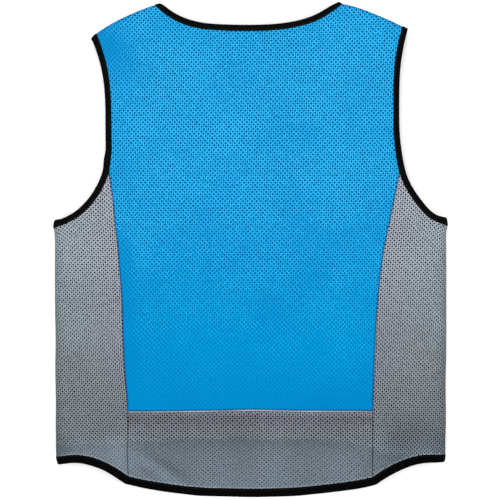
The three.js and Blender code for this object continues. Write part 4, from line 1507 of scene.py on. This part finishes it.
class VestSizes(bpy.types.PropertyGroup):
    """Sizes of the vest's cloth, seams and trim"""

    grid_step: length_property(
        "Back grid", "Distance between the back's cloth points", 0.0036, 0.001
    )
    front_grid_step: length_property(
        "Front grid", "Distance between the front's cloth points", 0.005, 0.001
    )
    binding_step: length_property(
        "Binding step", "Distance between stations along a binding", 0.003, 0.001
    )
    seam_round: length_property(
        "Seam round", "How far cloth rounds off into a seam", 0.0011, 0.0002
    )
    wave_height: length_property("Wave height", "Height of the soft waves in the back", 0.0006)
    pucker_height: length_property("Pucker height", "Height of the puckers along seams", 0.0002)
    tail_ridge: length_property("Tail ridge", "Height of the ridge under the blue panel", 0.0008)
    crease_depth: bpy.props.FloatProperty(
        name="Crease depth", description="How strong the small creases are", default=1.0,
        min=0.0, max=2.0,
    )
    blue_pitch_across: length_property(
        "Blue pitch across", "Distance between holes in a row of the blue mesh", 0.0059, 0.001
    )
    blue_pitch_along: length_property(
        "Blue pitch along", "Distance between every other row of the blue mesh", 0.00607, 0.001
    )
    blue_hole: length_property("Blue hole size", "Width of a hole in the blue mesh", 0.002, 0.0002)
    grey_pitch_across: length_property(
        "Grey pitch across", "Distance between holes in a row of the grey mesh", 0.0059, 0.001
    )
    grey_pitch_along: length_property(
        "Grey pitch along", "Distance between every other row of the grey mesh", 0.0052, 0.001
    )
    grey_hole: length_property("Grey hole size", "Width of a hole in the grey mesh", 0.0017, 0.0002)
    stitch_spacing: length_property(
        "Stitch spacing", "Distance from stitch to stitch", 0.0028, 0.001
    )
    stitch_length: length_property(
        "Stitch length", "Length of the thread that shows", 0.0022, 0.0005
    )
    thread_width: length_property("Thread width", "Width of the thread", 0.00045, 0.0001)
    tooth_pitch: length_property("Tooth pitch", "Distance between the zip's teeth", 0.0018, 0.0005)


class VestColours(bpy.types.PropertyGroup):
    """Colours of the vest's cloth and trim"""

    # The light colours are the raised yarn, partly a painted highlight; the hole colours are the
    # painted shade of the vest's inside seen through the holes
    blue: colour_property("Blue cloth", "Colour of the blue mesh", (0.0012, 0.195, 0.445))
    blue_light: colour_property(
        "Blue light", "Colour of the raised yarn in the blue mesh", (0.08, 0.57, 0.9)
    )
    blue_hole: colour_property(
        "Blue hole", "Colour seen in the blue mesh's holes", (0.0, 0.034, 0.125)
    )
    grey: colour_property("Grey cloth", "Colour of the grey mesh", (0.122, 0.146, 0.162))
    grey_light: colour_property(
        "Grey light", "Colour of the raised yarn in the grey mesh", (0.46, 0.525, 0.58)
    )
    grey_hole: colour_property(
        "Grey hole", "Colour seen in the grey mesh's holes", (0.006, 0.006, 0.008)
    )
    binding: colour_property(
        "Binding", "Colour of the bindings and the zip", (0.0008, 0.00075, 0.0007)
    )
    binding_light: colour_property(
        "Binding light", "Colour of the raised yarn in the bindings", (0.0042, 0.0039, 0.0036)
    )
    floor: colour_property("Floor", "Colour of the floor", (0.96, 0.96, 0.96))


class VestStage(bpy.types.PropertyGroup):
    """Camera and lights"""

    camera_height: length_property("Camera height", "Height of the camera over the floor", 3.0, 0.5)
    view_width: length_property("View width", "Width that the camera sees at the vest", 0.655, 0.1)
    light_power: bpy.props.FloatProperty(
        name="Light power", description="Power of each lamp", default=26.0, min=0.0, unit="POWER"
    )
    sky: bpy.props.FloatProperty(
        name="Sky", description="Strength of the even light from all round", default=0.75, min=0.0
    )


# Operators


class VEST_OT_back(bpy.types.Operator):
    """Makes the blue mesh panel of the back"""

    bl_idname = "vest.back"
    bl_label = "Back Panel"

    def execute(self, context):
        declare(make_back_panel(), "back_panel", slot="blue_mesh")
        return {"FINISHED"}


class VEST_OT_tail(bpy.types.Operator):
    """Makes the grey mesh panel of the tail"""

    bl_idname = "vest.tail"
    bl_label = "Tail Panel"

    def execute(self, context):
        declare(make_tail_panel(), "tail_panel", slot="grey_mesh")
        return {"FINISHED"}


class VEST_OT_sides(bpy.types.Operator):
    """Makes the grey mesh panels that wrap round both sides"""

    bl_idname = "vest.sides"
    bl_label = "Side Panels"

    def execute(self, context):
        for side in SIDES:
            declare(make_side_panel(side), f"{side.name}_side_panel", slot="grey_mesh")
        return {"FINISHED"}


class VEST_OT_fronts(bpy.types.Operator):
    """Makes the two blue front halves"""

    bl_idname = "vest.fronts"
    bl_label = "Front Panels"

    def execute(self, context):
        for side in SIDES:
            declare(make_front_panel(side), f"{side.name}_front_panel", slot="blue_mesh")
        return {"FINISHED"}


class VEST_OT_bindings(bpy.types.Operator):
    """Makes the black bindings and the stitches that hold them"""

    bl_idname = "vest.bindings"
    bl_label = "Bindings"

    def execute(self, context):
        neck = sweep_tape("neck_binding_tape", neck_path(), NECK_BINDING, -1, False, 80)
        made = [("neck_binding", neck)]
        for number, side in enumerate(SIDES):
            node = f"{side.name}_armhole_binding"
            tape = sweep_tape(
                f"{node}_tape", armhole_path(side), ARMHOLE_BINDING, -side.sign, True, 83 + number
            )
            made.append((node, tape))
        hem = sweep_tape(
            "hem_binding_tape", hem_path(), HEM_BINDING, 1, False, 87, "black_hem_tape"
        )
        made.append(("hem_binding", hem))
        rows = []
        for node, (piece, lines) in made:
            declare(piece, node, slot="black_binding")
            rows += lines
        declare(sew("binding_stitches", rows, "black_thread", 3), slot="black_binding")
        return {"FINISHED"}


class VEST_OT_stitches(bpy.types.Operator):
    """Makes the row of stitches under the blue back"""

    bl_idname = "vest.stitches"
    bl_label = "Seam Stitches"

    def execute(self, context):
        row = stitch_row(BLUE_HEM, -1.5, 0.72)
        declare(sew("tail_seam_stitches", [row], "grey_thread", 11), slot="grey_mesh")
        return {"FINISHED"}


class VEST_OT_zip(bpy.types.Operator):
    """Makes the front zip: tape, teeth, slider and pull"""

    bl_idname = "vest.zip"
    bl_label = "Front Zip"

    def execute(self, context):
        make_zip()
        return {"FINISHED"}


class VEST_OT_cloth_facts(bpy.types.Operator):
    """Does nothing when run."""

    bl_idname = "vest.cloth_facts"
    bl_label = "Cloth Facts"

    def execute(self, context):
        return {"FINISHED"}


class VEST_OT_stage(bpy.types.Operator):
    """Makes the floor, the soft lights and the camera"""

    bl_idname = "vest.stage"
    bl_label = "Stage"

    def execute(self, context):
        scene = context.scene
        stage = scene.vest_stage
        around = ((-1, -1), (1, -1), (1, 1), (-1, 1))
        corners = [(x * FLOOR_HALF, y * FLOOR_HALF, -FLOOR_DROP) for x, y in around]
        mesh = bpy.data.meshes.new("stage_floor")
        mesh.from_pydata(corners, [], [(0, 1, 2, 3)])
        mesh.materials.append(finish_named("pale_floor"))
        floor = bpy.data.objects.new("stage_floor", mesh)
        scene.collection.objects.link(floor)
        for name, place, size, share in LAMPS:
            lamp = bpy.data.lights.new(name, "AREA")
            lamp.size = size
            lamp.energy = stage.light_power * share
            light = bpy.data.objects.new(name, lamp)
            light.location = place
            aim = -light.location
            light.rotation_euler = aim.to_track_quat("-Z", "Y").to_euler()
            scene.collection.objects.link(light)
        world = bpy.data.worlds.new("even_sky")
        world.use_nodes = True
        sky = world.node_tree.nodes["Background"]
        sky.inputs["Color"].default_value = (1.0, 1.0, 1.0, 1.0)
        sky.inputs["Strength"].default_value = stage.sky
        scene.world = world
        scene.view_settings.view_transform = "Standard"
        camera_data = bpy.data.cameras.new("photo_camera")
        camera_data.sensor_width = SENSOR_WIDTH
        distance = stage.camera_height - CLOTH_LEVEL
        camera_data.lens = SENSOR_WIDTH * distance / stage.view_width
        camera = bpy.data.objects.new("photo_camera", camera_data)
        camera.location = (*CAMERA_SHIFT, stage.camera_height)
        scene.collection.objects.link(camera)
        scene.camera = camera
        return {"FINISHED"}


class VEST_PT_panel(bpy.types.Panel):
    """Lists the vest's sizes, colours and steps"""

    bl_idname = "VEST_PT_panel"
    bl_label = "Cooling Vest"
    bl_space_type = "VIEW_3D"
    bl_region_type = "UI"
    bl_category = "Cooling Vest"

    def draw(self, context):
        layout = self.layout
        scene = context.scene
        for group in (scene.vest_sizes, scene.vest_colours, scene.vest_stage):
            box = layout.box()
            for name in group.bl_rna.properties.keys():
                if name not in ("rna_type", "name"):
                    box.prop(group, name)
        for step in STEPS:
            layout.operator(step.bl_idname)


STEPS = (
    VEST_OT_back,
    VEST_OT_tail,
    VEST_OT_sides,
    VEST_OT_fronts,
    VEST_OT_bindings,
    VEST_OT_stitches,
    VEST_OT_zip,
    VEST_OT_cloth_facts,
    VEST_OT_stage,
)
CLASSES = (VestSizes, VestColours, VestStage, *STEPS, VEST_PT_panel)


def register():
    """Adds the operators, the panel and their settings."""
    for item in CLASSES:
        bpy.utils.register_class(item)
    bpy.types.Scene.vest_sizes = bpy.props.PointerProperty(type=VestSizes)
    bpy.types.Scene.vest_colours = bpy.props.PointerProperty(type=VestColours)
    bpy.types.Scene.vest_stage = bpy.props.PointerProperty(type=VestStage)


def unregister():
    """Takes them away again."""
    del bpy.types.Scene.vest_stage
    del bpy.types.Scene.vest_colours
    del bpy.types.Scene.vest_sizes
    for item in reversed(CLASSES):
        bpy.utils.unregister_class(item)


def main():
    """Makes the stage and every piece."""
    register()
    bpy.ops.vest.stage()
    bpy.ops.vest.back()
    bpy.ops.vest.tail()
    bpy.ops.vest.sides()
    bpy.ops.vest.fronts()
    bpy.ops.vest.bindings()
    bpy.ops.vest.stitches()
    bpy.ops.vest.zip()
    bpy.ops.vest.cloth_facts()


if __name__ == "__main__":
    main()
